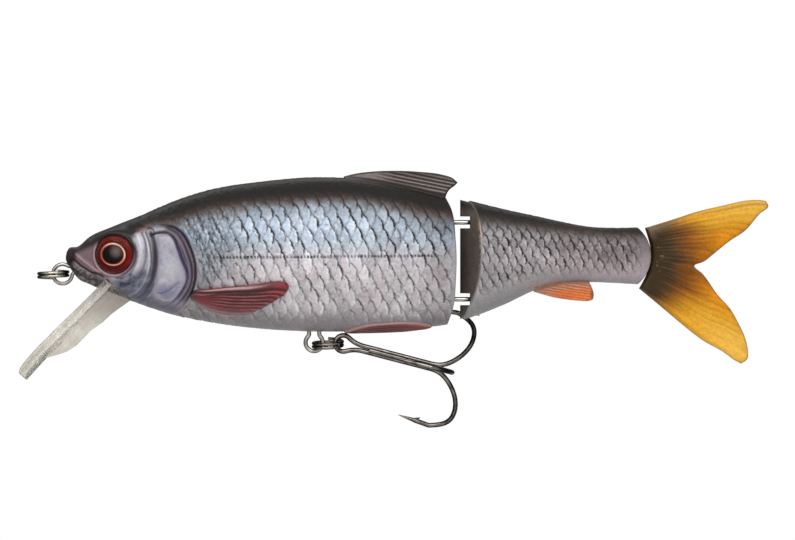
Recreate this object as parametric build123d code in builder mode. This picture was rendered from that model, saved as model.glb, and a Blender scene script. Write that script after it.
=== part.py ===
"""A two-piece hard swimbait with a soft tail, a clear diving lip and one treble hook.

Millimetres. The nose points to -X, the back is up (+Z) and the fish's left flank faces -Y.
The origin is the centre of the nose eye, the wire loop that the leader pulls on.
"""

import os
from math import atan2, cos, pi, radians, sin, sqrt

from build123d import *

# ---------------------------------------------------------------- driving dimensions
WALL = 1.3  # shell wall
SEAT = 0.04  # clearance of a moulded seat round what it holds
FIN_HALF = 0.8  # half the thickness of a moulded fin
RELIEF = 0.55  # how far the paired fins stand out of the flank
WIDE = 20.0  # half the reach of a cut that passes right through
FAR = 50.0  # how far a cut reaches past the end of a body

# Each station of a body: x, back height, belly height, half width.
FRONT_STATIONS = [
    (0.8, 3.4, 1.4, 0.9),
    (2.0, 4.9, 0.1, 2.0),
    (5.0, 6.9, -1.9, 3.7),
    (9.0, 8.7, -3.6, 5.1),
    (15.0, 11.1, -5.8, 6.6),
    (19.5, 13.1, -7.3, 7.3),
    (27.0, 15.6, -8.9, 8.0),
    (37.0, 17.2, -10.2, 8.3),
    (47.0, 18.0, -10.7, 8.2),
    (57.0, 17.5, -10.6, 7.8),
    (65.0, 16.1, -10.2, 7.4),
    (73.4, 13.9, -9.2, 6.9),
]
REAR_STATIONS = [
    (73.8, 13.9, -7.9, 6.8),
    (77.5, 13.2, -7.8, 6.4),
    (82.0, 12.1, -5.8, 5.6),
    (88.0, 10.8, -3.0, 4.6),
    (93.0, 9.7, -1.7, 3.9),
    (98.0, 8.8, -1.5, 3.4),
    (103.0, 8.6, -1.7, 3.1),
    (109.8, 8.8, -2.1, 2.8),
]
FRONT_HOLLOW = FRONT_STATIONS[4:-1]
REAR_HOLLOW = REAR_STATIONS[2:6]
# Where a section is widest (share of its height) and the reach of its curve handles.
WIDEST, BACK, SHOULDER, FLANK, BELLY = 0.55, 0.5, 0.6, 0.56, 0.44

# Eyes, on seats that face a little forward
EYE_X, EYE_Y, EYE_Z, EYE_TURN = 9.7, 5.3, 3.5, 14.0
EYE_R, EYE_DEEP, EYE_DISC, EYE_CROWN = 3.38, 1.3, 0.3, 0.45
EYE_BORE = 3.9  # how far the bore for the eye runs out past its seat
RIM_R, RIM_FOOT_R, RIM_TOP, RIM_FOOT = 3.95, 5.3, -0.55, -2.8

# Wires, all given by radius
NOSE_WIRE, BELLY_WIRE, HINGE_WIRE, RING_WIRE, HOOK_WIRE = 0.35, 0.4, 0.42, 0.3, 0.46
# and their eyes: ring radius, half neck, neck bend radius, leg length, turned-out foot
NOSE_LOOP = (1.8, 0.7, 0.6, 4.4, 1.3)
BELLY_LOOP = (1.6, 0.95, 0.8, 6.0, 1.5)
HINGE_LOOP = (1.35, 0.75, 0.7, 6.0, 1.4)
FOOT_BEND = 0.7
NOSE_LEAN = 25.0
BELLY_EYE = (46.8, -12.75)

# Hinge between the two bodies
HINGE_X, HINGE_UP, HINGE_LOW = 76.7, 9.6, -4.7
PIN_R, PIN_LENGTH = 0.85, 6.2
SLOT_END, SLOT_HALF, POCKET_R = 75.8, 1.1, 2.15
REAR_TIP, REAR_TIP_HALF, BEVEL_X, BEVEL_Y = 74.0, 0.5, 77.5, 7.0

# Split rings
RING_R, RING_PITCH, RING_TURNS = 2.72, 0.64, 2
LINE_RING = (-1.72, 0.0, -0.1)
BELLY_RING, BELLY_RING_LEAN = (49.35, 0.0, -13.05), 8.0

# Treble hook: s runs down the shank from the ring's far strand, r is the distance from it
HOOK_AT, HOOK_SLOPE = (BELLY_RING[0] + RING_R, BELLY_RING[2] + RING_PITCH / 4), 14.6
HOOK_EYE_X, HOOK_EYE_R, HOOK_NECK_R, HOOK_EYE_LEG = 0.15, 1.5, 6.0, 1.2
PAIR_TURN = 30.0  # the upper and lower prongs lean away from upright
HOOK_BEND = [
    (17.0, 0.54), (20.5, 2.0), (22.8, 5.3), (23.4, 8.2), (22.3, 11.1), (19.7, 12.45), (16.9, 12.3),
]
HOOK_TIP, HOOK_TIP_R, BARB_AT = (13.4, 12.0), 0.055, 2.6
SINGLE_SHORT = 2.4  # the third prong's shank ends this far before the other two
BARB = [(-0.4, 0.0), (1.1, 0.0), (1.5, -0.8)]  # a thin fin, from its place behind the tip
BARB_HALF = 0.18

# Clear lip
LIP_ROOT, LIP_SLOPE = (7.4, -3.1), 47.5
LIP_THICK, LIP_CUP_R, LIP_IN, LIP_REACH, LIP_SPARE = 1.6, 60.0, 2.0, 5.0, 1.0
LIP_RIM, LIP_DISH = 1.0, 0.35  # the rim's width and its height over the blade
LIP_EDGE = [(5.0, 5.9), (11.0, 8.3), (17.0, 9.2), (20.4, 8.0), (21.5, 4.4)]
LIP_ROOT_HALF, LIP_LENGTH = 3.6, 21.8
LIP_RIB_HALF = 1.1
JAW = [(8.6, -0.9), (5.0, -3.0), (3.0, -9.0), (13.2, -9.0), (13.2, -5.5)]
RIB = [
    (8.6, -1.8), (12.6, -4.9), (9.1, -7.4), (7.4, -9.0), (5.1, -10.6), (3.9, -11.9), (2.4, -13.4),
    (0.6, -14.5), (-0.8, -15.0), (-3.3, -15.7),
]

# Side views of the fins
DORSAL = [(52.5, 18.4), (56.5, 19.0), (61.0, 19.2), (66.5, 19.0), (70.5, 18.5), (73.5, 17.0)]
DORSAL_FOOT = [(71.3, 14.5), (66.0, 12.0), (52.5, 14.0)]
ANAL = [(87.2, -3.0), (91.6, -4.4), (97.6, -5.4), (98.5, -4.6), (97.6, -2.1), (96.0, 1.0), (87.2, 1.0)]
PECTORAL = [
    (23.9, -4.5), (25.0, -3.0), (31.5, -2.0), (40.8, -1.4), (42.0, -2.4), (36.0, -6.8), (31.0, -7.8),
]
PELVIC = [
    (52.5, -10.0), (57.0, -9.2), (63.0, -8.8), (70.2, -8.9), (66.0, -10.6), (60.0, -11.2), (54.0, -11.0),
]
FRONT_EDGE = [(72.2, 12.6), (73.1, 6.5), (73.1, -2.0), (71.6, -9.8)]

# Weights
BELLY_SLUGS, BELLY_SLUG_R, BELLY_SLUG_Z = [(20.5, 31.5), (33.5, 42.5)], 2.9, -4.6
REAR_SLUG, REAR_SLUG_R, REAR_SLUG_Z = (84.5, 91.0), 1.9, 1.4
SADDLE, BELLY_SADDLE_IN, REAR_SADDLE_IN = 1.2, 2.0, 1.5
BOSS_HALF, BOSS_TOP = 3.6, -3.8

# Tail: the body ends in a round nose, the tang is pinned in it, the blade bends behind it
END_X, END_Z, END_R = 102.0, 3.35, 7.4
FLEX_X, FLEX_GAP, SOCKET_GAP = 110.4, 0.55, 0.3
TANG_X, TANG_HALF, TANG_LOW, TANG_HIGH = 100.5, 0.8, 0.6, 6.2
SOCKET_X = 100.0
TAIL_PIN_X, TAIL_PIN_R, TAIL_PIN_LENGTH = 104.0, 0.6, 5.0
TAIL_UPPER = [
    (106.2, 8.2), (110.8, 9.3), (118.0, 11.6), (127.3, 13.8), (131.2, 13.3), (129.4, 10.6),
    (124.2, 6.1), (119.2, 2.6), (117.5, 1.4),
]
TAIL_LOWER = [
    (117.5, 1.4), (119.2, -0.4), (122.4, -4.4), (125.8, -9.3), (127.5, -14.6), (126.4, -16.5),
    (122.4, -13.9), (115.0, -8.6), (105.6, -2.0),
]
# Half the blade's thickness at stations along it
TAIL_TAPER = [(105.0, 1.4), (111.4, 1.4), (115.0, 1.1), (132.0, 0.4)]


# ---------------------------------------------------------------- shared shapes
def body_section(x, top, bottom, half_width, grow):
    """A fish-like section across X: a rounded back and a narrower belly."""
    top, bottom, half_width = top + grow, bottom - grow, half_width + grow
    widest = bottom + WIDEST * (top - bottom)
    with BuildSketch(Plane.YZ.offset(x)) as section:
        with BuildLine():
            Bezier(
                (0, top),
                (BACK * half_width, top),
                (half_width, widest + SHOULDER * (top - widest)),
                (half_width, widest),
            )
            Bezier(
                (half_width, widest),
                (half_width, widest - FLANK * (widest - bottom)),
                (BELLY * half_width, bottom),
                (0, bottom),
            )
            mirror(about=Plane.YZ)
        make_face()
    return section.sketch.face()


def lofted_body(stations, grow=0.0):
    """A smooth solid through the stations, grown or shrunk all round."""
    with BuildPart() as body:
        loft([body_section(*station, grow) for station in stations])
    return body.part


def side_prism(half, *outlines):
    """Extrudes a closed side view to both sides of y = 0.

    Each outline is a list of x, z points and whether a smooth curve runs through them."""
    with BuildPart() as prism:
        with BuildSketch(Plane.XZ):
            with BuildLine():
                for points, smooth in outlines:
                    if smooth:
                        Spline(*points)
                    else:
                        Polyline(*points)
            make_face()
        extrude(amount=half, both=True)
    return prism.part


def flat_prism(half, points):
    return side_prism(half, (points + points[:1], False))


def round_prism(half, points):
    return side_prism(half, (points, True), ([points[-1], points[0]], False))


def block(x_low, x_high, half_width, z_low, z_high):
    with BuildPart() as cuboid:
        with Locations(((x_low + x_high) / 2, 0, (z_low + z_high) / 2)):
            Box(x_high - x_low, 2 * half_width, z_high - z_low)
    return cuboid.part


def swept_wire(plane, draw_path, radius):
    """Round wire along the path that draw_path draws in the plane."""
    with BuildPart() as wire:
        with BuildLine(plane) as path:
            draw_path()
        with BuildSketch(Plane(origin=path.line @ 0, z_dir=path.line % 0)):
            Circle(radius)
        sweep(path=path.line)
    return wire.part


def eye_path(ring_r, neck_half, neck_r, leg, foot):
    """One bent wire: a ring round the origin, a neck, two legs along +X and feet turned out, if any."""
    reach = sqrt((ring_r + neck_r) ** 2 - (neck_half + neck_r) ** 2)
    turn = atan2(neck_half + neck_r, reach)
    touch = (ring_r * cos(turn), ring_r * sin(turn))
    half_turn = (-pi / 2 + turn - pi) / 2
    mid = (reach + neck_r * cos(half_turn), neck_half + neck_r + neck_r * sin(half_turn))

    def draw():
        for side in (1, -1):
            leg_end = (reach + leg, side * neck_half)
            if foot:
                foot_end = (reach + leg, side * (neck_half + foot))
                FilletPolyline(foot_end, leg_end, (reach, side * neck_half), radius=FOOT_BEND)
            else:
                Line(leg_end, (reach, side * neck_half))
            ThreePointArc(
                (reach, side * neck_half),
                (mid[0], side * mid[1]),
                (touch[0], side * touch[1]),
            )
        ThreePointArc(touch, (-ring_r, 0), (touch[0], -touch[1]))

    return draw


def split_ring(centre, lean=0.0):
    """A double-coil ring of round wire, its hole along Z, leaning about X."""
    height = RING_PITCH * RING_TURNS
    with BuildPart() as ring:
        with BuildLine():
            coil = Helix(RING_PITCH, height, RING_R, center=(0, 0, -height / 2))
        with BuildSketch(Plane(origin=coil @ 0, z_dir=coil % 0)):
            Circle(RING_WIRE)
        sweep(path=coil, is_frenet=True)
    return Pos(*centre) * Rot(X=lean) * Rot(Z=90) * ring.part


def upright_pin(x, z, radius, length):
    with BuildPart() as pin:
        with Locations((x, 0, z)):
            Cylinder(radius, length)
    return pin.part


def slug(ends, z, radius):
    """A cylinder along X in the middle plane."""
    with BuildPart() as weight:
        with BuildSketch(Plane.YZ.offset(ends[0])):
            with Locations((0, z)):
                Circle(radius)
        extrude(amount=ends[1] - ends[0])
    return weight.part


# ---------------------------------------------------------------- wires
def nose_eye_wire(radius):
    lean = radians(NOSE_LEAN)
    plane = Plane(origin=(0, 0, 0), x_dir=(cos(lean), 0, sin(lean)), z_dir=(0, 1, 0))
    return swept_wire(plane, eye_path(*NOSE_LOOP), radius)


def belly_eye_wire(radius):
    plane = Plane(origin=(BELLY_EYE[0], 0, BELLY_EYE[1]), x_dir=(0, 0, 1), z_dir=(0, 1, 0))
    return swept_wire(plane, eye_path(*BELLY_LOOP), radius)


def hinge_eye_wire(height, radius):
    plane = Plane(origin=(HINGE_X, 0, height), x_dir=(-1, 0, 0), z_dir=(0, 0, 1))
    return swept_wire(plane, eye_path(*HINGE_LOOP), radius)


# ---------------------------------------------------------------- eyes
def eye_plane(side):
    turn = radians(EYE_TURN)
    return Plane(
        origin=(EYE_X, side * EYE_Y, EYE_Z), x_dir=(0, 0, 1), z_dir=(-sin(turn), side * cos(turn), 0)
    )


def eye_barrel(side, radius, low, high):
    with BuildPart() as barrel:
        with BuildSketch(eye_plane(side).offset(low)):
            Circle(radius)
        extrude(amount=high - low)
    return barrel.part


def eye_rim(side):
    """The raised socket: a low cone out of the cheek."""
    with BuildPart() as rim:
        with BuildSketch(eye_plane(side).offset(RIM_FOOT)):
            Circle(RIM_FOOT_R)
        with BuildSketch(eye_plane(side).offset(RIM_TOP)):
            Circle(RIM_R)
        loft()
    return rim.part


def eye_dome(side):
    """Clear resin over the foil: a short barrel under a shallow crown."""
    low = -EYE_DEEP + EYE_DISC
    crown = EYE_CROWN - RIM_TOP
    ball = (EYE_R**2 + crown**2) / (2 * crown)
    plane = eye_plane(side)
    with BuildPart() as dome:
        with BuildSketch(plane.offset(low)):
            Circle(EYE_R)
        extrude(amount=EYE_CROWN - low)
        with Locations(plane.offset(EYE_CROWN - ball).location):
            Sphere(ball, mode=Mode.INTERSECT)
    return dome.part


# ---------------------------------------------------------------- clear lip
def lip_outline(inset):
    """Half-width of the blade at stations down its length, mirrored into a closed outline."""
    edge = [(x + LIP_IN, y - inset) for x, y in LIP_EDGE]
    end = LIP_LENGTH + LIP_IN - inset
    root = LIP_ROOT_HALF - inset
    Spline((0, root), *edge, (end, 0), *[(x, -y) for x, y in edge[::-1]], (0, -root))
    Line((0, -root), (0, root))


def lip_blade():
    """A blade bowed across, its long edges ahead of its middle, with a raised rim in front."""
    slope = radians(LIP_SLOPE)
    along = Vector(-cos(slope), 0, -sin(slope))
    ahead = Vector(-sin(slope), 0, cos(slope))
    root = Vector(LIP_ROOT[0], 0, LIP_ROOT[1]) - along * LIP_IN
    flat = Plane(origin=root - ahead * LIP_REACH, x_dir=along, z_dir=ahead)
    across = Plane(
        origin=root + ahead * LIP_CUP_R - along * LIP_SPARE, x_dir=(0, 1, 0), z_dir=along
    )
    front_r = LIP_CUP_R - LIP_THICK / 2
    layers = []
    bow = (0, front_r, front_r + LIP_THICK)
    dish = (LIP_RIM, front_r - LIP_SPARE, front_r + LIP_DISH)
    for inset, near, far in (bow, dish):
        with BuildPart() as layer:
            with BuildSketch(flat):
                with BuildLine():
                    lip_outline(inset)
                make_face()
            extrude(amount=2 * LIP_REACH)
            with BuildSketch(across):
                Circle(far)
                Circle(near, mode=Mode.SUBTRACT)
            extrude(amount=LIP_LENGTH + LIP_IN + 2 * LIP_SPARE, mode=Mode.INTERSECT)
        layers.append(layer.part)
    with BuildPart() as blade:
        add(layers[0])
        add(layers[1], mode=Mode.SUBTRACT)
    return blade.part


# ---------------------------------------------------------------- treble hook
# In the hook's own frame x runs down the shank, y is up and z faces the left flank.
HOOK_FRAME = Plane(
    origin=(HOOK_AT[0], 0, HOOK_AT[1]),
    x_dir=(cos(radians(HOOK_SLOPE)), 0, -sin(radians(HOOK_SLOPE))),
    z_dir=(0, -1, 0),
)


HOOK_SPREAD = HOOK_BEND[0][1] * cos(radians(PAIR_TURN))
HOOK_JOIN = (
    HOOK_EYE_X
    + HOOK_EYE_LEG
    + sqrt((HOOK_EYE_R + HOOK_NECK_R) ** 2 - (HOOK_SPREAD + HOOK_NECK_R) ** 2)
)


def prong(turn, short=0.0):
    """A shank wire, its bend and a sharpened, barbed point, turned round the shank."""
    bend = [(x - short, y) for x, y in HOOK_BEND]
    bend_end, tip = Vector(*bend[-1]), Vector(HOOK_TIP[0] - short, HOOK_TIP[1])
    aim = tip - bend_end
    back = aim.normalized()
    barb = tip - back * BARB_AT
    with BuildPart() as wire:
        with BuildLine() as path:
            Line((HOOK_JOIN, bend[0][1]), bend[0])
            Spline(*bend, tangents=[(1, 0), (back.X, back.Y)])
        with BuildSketch(Plane(origin=path.line @ 0, z_dir=path.line % 0)):
            Circle(HOOK_WIRE)
        sweep(path=path.line)
        with BuildSketch(Plane(origin=bend_end, z_dir=aim)):
            Circle(HOOK_WIRE)
        with BuildSketch(Plane(origin=tip, z_dir=aim)):
            Circle(HOOK_TIP_R)
        loft()
        with BuildSketch(Plane.XY):
            with BuildLine():
                Polyline(*[(barb.X + x, barb.Y + y) for x, y in BARB], close=True)
            make_face()
        extrude(amount=BARB_HALF, both=True)
    return HOOK_FRAME.location * Rot(X=turn) * wire.part


def hook_eye():
    """The pear-shaped eye, bent from the wire that the upper and lower prongs share."""
    behind = HOOK_BEND[0][1] * sin(radians(PAIR_TURN))
    draw = eye_path(HOOK_EYE_R, HOOK_SPREAD, HOOK_NECK_R, HOOK_EYE_LEG, 0)
    eye = swept_wire(Plane(origin=(HOOK_EYE_X, 0, -behind)), draw, HOOK_WIRE)
    return HOOK_FRAME.location * eye


# ---------------------------------------------------------------- front body
seats = [
    nose_eye_wire(NOSE_WIRE + SEAT),
    belly_eye_wire(BELLY_WIRE + SEAT),
    hinge_eye_wire(HINGE_UP, HINGE_WIRE + SEAT),
    hinge_eye_wire(HINGE_LOW, HINGE_WIRE + SEAT),
]
belly_slug_seats = [slug(ends, BELLY_SLUG_Z, BELLY_SLUG_R + SEAT) for ends in BELLY_SLUGS]
head = lofted_body(FRONT_STATIONS)
front_hollow = lofted_body(FRONT_HOLLOW, -WALL)
saddles = [
    block(x - SADDLE / 2, x + SADDLE / 2, WIDE, -WIDE, BELLY_SLUG_Z)
    for start, end in BELLY_SLUGS
    for x in (start + BELLY_SADDLE_IN, end - BELLY_SADDLE_IN)
]
boss = block(BELLY_EYE[0] - BOSS_HALF, BELLY_EYE[0] + BOSS_HALF, WIDE, -WIDE, BOSS_TOP)
front_side = side_prism(
    WIDE, (FRONT_EDGE, True), ([FRONT_EDGE[-1], (0, -FAR), (0, FAR), FRONT_EDGE[0]], False)
)
paired_fins = lofted_body(FRONT_STATIONS, RELIEF)
fin_outlines = [round_prism(WIDE, PECTORAL), round_prism(WIDE, PELVIC)]
dorsal = side_prism(FIN_HALF, (DORSAL, True), ([DORSAL[-1], *DORSAL_FOOT, DORSAL[0]], False))

with BuildPart() as front_core:
    add(paired_fins)
    add(fin_outlines, mode=Mode.INTERSECT)
    add(head)
    add([eye_rim(-1), eye_rim(1)])
    add(front_side, mode=Mode.INTERSECT)
    add(dorsal)

with BuildPart() as hollow:
    add(front_hollow)
    add(saddles, mode=Mode.SUBTRACT)
    add(boss, mode=Mode.SUBTRACT)

with BuildPart() as front_body:
    add(front_core.part)
    add(hollow.part, mode=Mode.SUBTRACT)
    add(seats + belly_slug_seats, mode=Mode.SUBTRACT)
    for side in (-1, 1):
        add(eye_barrel(side, EYE_R + SEAT, -EYE_DEEP, EYE_BORE), mode=Mode.SUBTRACT)
    add(flat_prism(WIDE, JAW), mode=Mode.SUBTRACT)

with BuildPart() as front_shell_left:
    add(front_body.part)
    split(bisect_by=Plane.XZ, keep=Keep.TOP)

with BuildPart() as front_shell_right:
    add(front_body.part)
    split(bisect_by=Plane.XZ, keep=Keep.BOTTOM)

with BuildPart() as jaw:
    add(flat_prism(WIDE, JAW))
    add(head, mode=Mode.INTERSECT)

with BuildPart() as diving_lip:
    add(jaw.part)
    add(flat_prism(LIP_RIB_HALF, RIB))
    add(lip_blade())
    add(front_body.part, mode=Mode.SUBTRACT)

with BuildPart() as nose_eye:
    add(nose_eye_wire(NOSE_WIRE))

with BuildPart() as belly_eye:
    add(belly_eye_wire(BELLY_WIRE))

with BuildPart() as upper_hinge_eye:
    add(hinge_eye_wire(HINGE_UP, HINGE_WIRE))

with BuildPart() as lower_hinge_eye:
    add(hinge_eye_wire(HINGE_LOW, HINGE_WIRE))

with BuildPart() as eye_foil_left:
    add(eye_barrel(-1, EYE_R, -EYE_DEEP, -EYE_DEEP + EYE_DISC))

with BuildPart() as eye_foil_right:
    add(eye_barrel(1, EYE_R, -EYE_DEEP, -EYE_DEEP + EYE_DISC))

with BuildPart() as eye_dome_left:
    add(eye_dome(-1))

with BuildPart() as eye_dome_right:
    add(eye_dome(1))

with BuildPart() as belly_ballast:
    for ends in BELLY_SLUGS:
        add(slug(ends, BELLY_SLUG_Z, BELLY_SLUG_R))

# ---------------------------------------------------------------- rear body
with BuildPart() as wedge_nose:
    with BuildSketch(Plane.XY.offset(-WIDE)):
        with BuildLine():
            Polyline(
                (BEVEL_X, BEVEL_Y),
                (REAR_TIP, REAR_TIP_HALF),
                (REAR_TIP, -REAR_TIP_HALF),
                (BEVEL_X, -BEVEL_Y),
                (BEVEL_X + FAR, -BEVEL_Y),
                (BEVEL_X + FAR, BEVEL_Y),
                close=True,
            )
        make_face()
    extrude(amount=2 * WIDE)

with BuildPart() as round_end:
    with BuildSketch(Plane.XZ):
        with Locations((END_X, END_Z)):
            Circle(END_R)
        with Locations((END_X - FAR / 2, END_Z)):
            Rectangle(FAR, FAR)
    extrude(amount=WIDE, both=True)

rear_outer = lofted_body(REAR_STATIONS)
rear_hollow = lofted_body(REAR_HOLLOW, -WALL)
tang_seat = block(TANG_X - SEAT, FLEX_X, TANG_HALF + SEAT, TANG_LOW - SEAT, TANG_HIGH + SEAT)
anal = side_prism(FIN_HALF, (ANAL[:5], True), (ANAL[4:] + ANAL[:1], False))
rear_slug_seat = slug(REAR_SLUG, REAR_SLUG_Z, REAR_SLUG_R + SEAT)
rear_saddles = [
    block(x - SADDLE / 2, x + SADDLE / 2, WIDE, -WIDE, REAR_SLUG_Z)
    for x in (REAR_SLUG[0] + REAR_SADDLE_IN, REAR_SLUG[1] - REAR_SADDLE_IN)
]

with BuildPart() as rear_space:
    add(rear_hollow)
    add(rear_saddles, mode=Mode.SUBTRACT)

with BuildPart() as rear_body:
    add(rear_outer)
    add(wedge_nose.part, mode=Mode.INTERSECT)
    add(round_end.part, mode=Mode.INTERSECT)
    add(anal)
    add(rear_space.part, mode=Mode.SUBTRACT)
    for height in (HINGE_UP, HINGE_LOW):
        slot = block(SLOT_END - FAR, SLOT_END, WIDE, height - SLOT_HALF, height + SLOT_HALF)
        add(slot, mode=Mode.SUBTRACT)
        add(upright_pin(HINGE_X, height, POCKET_R, 2 * SLOT_HALF), mode=Mode.SUBTRACT)
        add(upright_pin(HINGE_X, height, PIN_R + SEAT, PIN_LENGTH), mode=Mode.SUBTRACT)
    add([rear_slug_seat, tang_seat], mode=Mode.SUBTRACT)

tail_pin_plane = Plane.XZ.offset(-TAIL_PIN_LENGTH / 2)


def cross_pin(radius):
    with BuildPart() as pin:
        with BuildSketch(tail_pin_plane):
            with Locations((TAIL_PIN_X, END_Z)):
                Circle(radius)
        extrude(amount=TAIL_PIN_LENGTH)
    return pin.part


with BuildPart() as rear_shell_left:
    add(rear_body.part)
    add(cross_pin(TAIL_PIN_R + SEAT), mode=Mode.SUBTRACT)
    split(bisect_by=Plane.XZ, keep=Keep.TOP)

with BuildPart() as rear_shell_right:
    add(rear_body.part)
    add(cross_pin(TAIL_PIN_R + SEAT), mode=Mode.SUBTRACT)
    split(bisect_by=Plane.XZ, keep=Keep.BOTTOM)

with BuildPart() as upper_hinge_pin:
    add(upright_pin(HINGE_X, HINGE_UP, PIN_R, PIN_LENGTH))

with BuildPart() as lower_hinge_pin:
    add(upright_pin(HINGE_X, HINGE_LOW, PIN_R, PIN_LENGTH))

with BuildPart() as rear_ballast:
    add(slug(REAR_SLUG, REAR_SLUG_Z, REAR_SLUG_R))

with BuildPart() as tail_pin:
    add(cross_pin(TAIL_PIN_R))

with BuildPart() as tail_tang:
    add(block(TANG_X, FLEX_X, TANG_HALF, TANG_LOW, TANG_HIGH))
    with Locations((FLEX_X, 0, (TANG_LOW + TANG_HIGH) / 2)):
        Cylinder(TANG_HALF, TANG_HIGH - TANG_LOW)
    add(cross_pin(TAIL_PIN_R + SEAT), mode=Mode.SUBTRACT)

# ---------------------------------------------------------------- tail blade
with BuildPart() as tail_fin:
    with BuildSketch(Plane.XY.offset(-WIDE)):
        with BuildLine():
            Polyline(*TAIL_TAPER, *[(x, -y) for x, y in TAIL_TAPER[::-1]], close=True)
        make_face()
    extrude(amount=2 * WIDE)
    add(
        side_prism(WIDE, (TAIL_UPPER, True), (TAIL_LOWER, True), ([TAIL_LOWER[-1], TAIL_UPPER[0]], False)),
        mode=Mode.INTERSECT,
    )
    with BuildSketch(Plane.XZ):
        with Locations((END_X, END_Z)):
            Circle(END_R + FLEX_GAP)
    extrude(amount=WIDE, both=True, mode=Mode.SUBTRACT)
    add(
        block(SOCKET_X, FLEX_X, WIDE, TANG_LOW - SOCKET_GAP, TANG_HIGH + SOCKET_GAP),
        mode=Mode.SUBTRACT,
    )
    with Locations((FLEX_X, 0, (TANG_LOW + TANG_HIGH) / 2)):
        Cylinder(
            TANG_HALF + SOCKET_GAP,
            TANG_HIGH - TANG_LOW + 2 * SOCKET_GAP,
            mode=Mode.SUBTRACT,
        )

# ---------------------------------------------------------------- rings and hook
with BuildPart() as line_ring:
    add(split_ring(LINE_RING))

with BuildPart() as belly_ring:
    add(split_ring(BELLY_RING, BELLY_RING_LEAN))

with BuildPart() as treble_double_hook:
    add([prong(-PAIR_TURN), prong(180 + PAIR_TURN), hook_eye()])

with BuildPart() as treble_single_hook:
    add(prong(90, SINGLE_SHORT))

# ---------------------------------------------------------------- export
pieces = {
    "front_shell_left": front_shell_left,
    "front_shell_right": front_shell_right,
    "diving_lip": diving_lip,
    "nose_eye": nose_eye,
    "belly_eye": belly_eye,
    "upper_hinge_eye": upper_hinge_eye,
    "lower_hinge_eye": lower_hinge_eye,
    "eye_foil_left": eye_foil_left,
    "eye_foil_right": eye_foil_right,
    "eye_dome_left": eye_dome_left,
    "eye_dome_right": eye_dome_right,
    "belly_ballast": belly_ballast,
    "rear_shell_left": rear_shell_left,
    "rear_shell_right": rear_shell_right,
    "upper_hinge_pin": upper_hinge_pin,
    "lower_hinge_pin": lower_hinge_pin,
    "rear_ballast": rear_ballast,
    "tail_pin": tail_pin,
    "tail_tang": tail_tang,
    "tail_fin": tail_fin,
    "line_ring": line_ring,
    "belly_ring": belly_ring,
    "treble_double_hook": treble_double_hook,
    "treble_single_hook": treble_single_hook,
}
os.makedirs("parts", exist_ok=True)
for name, piece in pieces.items():
    piece.part.label = name
    export_step(piece.part, f"parts/{name}.step")
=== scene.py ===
"""The finished look of the jointed swimbait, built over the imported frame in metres."""
import math

import bmesh
import bpy
import numpy as np
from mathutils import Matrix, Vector
from mathutils.geometry import tessellate_polygon


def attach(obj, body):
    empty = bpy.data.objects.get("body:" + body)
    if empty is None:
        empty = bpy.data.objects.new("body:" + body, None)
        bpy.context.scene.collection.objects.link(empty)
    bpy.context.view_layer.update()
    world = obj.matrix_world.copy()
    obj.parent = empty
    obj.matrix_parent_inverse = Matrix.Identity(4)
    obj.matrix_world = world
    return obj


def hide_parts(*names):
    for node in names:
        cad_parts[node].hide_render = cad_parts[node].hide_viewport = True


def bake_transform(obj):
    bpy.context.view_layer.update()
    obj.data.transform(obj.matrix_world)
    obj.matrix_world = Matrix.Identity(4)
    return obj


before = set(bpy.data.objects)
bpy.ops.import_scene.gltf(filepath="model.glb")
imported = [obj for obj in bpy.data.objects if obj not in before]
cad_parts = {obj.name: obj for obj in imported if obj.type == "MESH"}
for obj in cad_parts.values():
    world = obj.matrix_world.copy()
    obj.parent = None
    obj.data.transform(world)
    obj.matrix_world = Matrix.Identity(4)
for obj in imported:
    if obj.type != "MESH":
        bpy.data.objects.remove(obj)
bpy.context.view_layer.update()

MM = 0.001
NOISE_SEED = 11
LUT = np.random.default_rng(NOISE_SEED).random((256, 256, 4))


# ------------------------------------------------------------------ small maths
def hermite(x, points, column=1):
    """A smooth curve through the points, read at x."""
    px = np.array([p[0] for p in points], float)
    py = np.array([p[column] for p in points], float)
    slope = np.gradient(py, px)
    x = np.clip(np.asarray(x, float), px[0], px[-1])
    i = np.clip(np.searchsorted(px, x, side="right") - 1, 0, len(px) - 2)
    h = px[i + 1] - px[i]
    t = (x - px[i]) / h
    return (
        (2 * t**3 - 3 * t**2 + 1) * py[i]
        + (t**3 - 2 * t**2 + t) * h * slope[i]
        + (3 * t**2 - 2 * t**3) * py[i + 1]
        + (t**3 - t**2) * h * slope[i + 1]
    )


def smooth(low, high, value):
    t = np.clip((value - low) / (high - low), 0, 1)
    return t * t * (3 - 2 * t)


def resample(points, count):
    """A smooth line through the points, at count even steps."""
    p = np.array(points, float)
    s = np.concatenate([[0], np.cumsum(np.linalg.norm(np.diff(p, axis=0), axis=1))])
    if len(p) > 2:
        fine = np.linspace(0, s[-1], 400)
        p = np.stack([hermite(fine, list(zip(s, p[:, k]))) for k in range(p.shape[1])], 1)
        s = np.concatenate([[0], np.cumsum(np.linalg.norm(np.diff(p, axis=0), axis=1))])
    at = np.linspace(0, s[-1], count)
    return np.stack([np.interp(at, s, p[:, k]) for k in range(p.shape[1])], 1)


def line_distance(x, z, points, curved=True):
    """Distance to a line, and how far along it (0 to 1) the nearest point is."""
    p = resample(points, 60) if curved else np.array(points, float)
    best = np.full(x.shape, 1e9)
    along = np.zeros(x.shape)
    for k in range(len(p) - 1):
        a, d = p[k], p[k + 1] - p[k]
        t = np.clip(((x - a[0]) * d[0] + (z - a[1]) * d[1]) / (d @ d + 1e-12), 0, 1)
        r = np.hypot(x - a[0] - t * d[0], z - a[1] - t * d[1])
        near = r < best
        best = np.where(near, r, best)
        along = np.where(near, (k + t) / (len(p) - 1), along)
    return best, along


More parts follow.
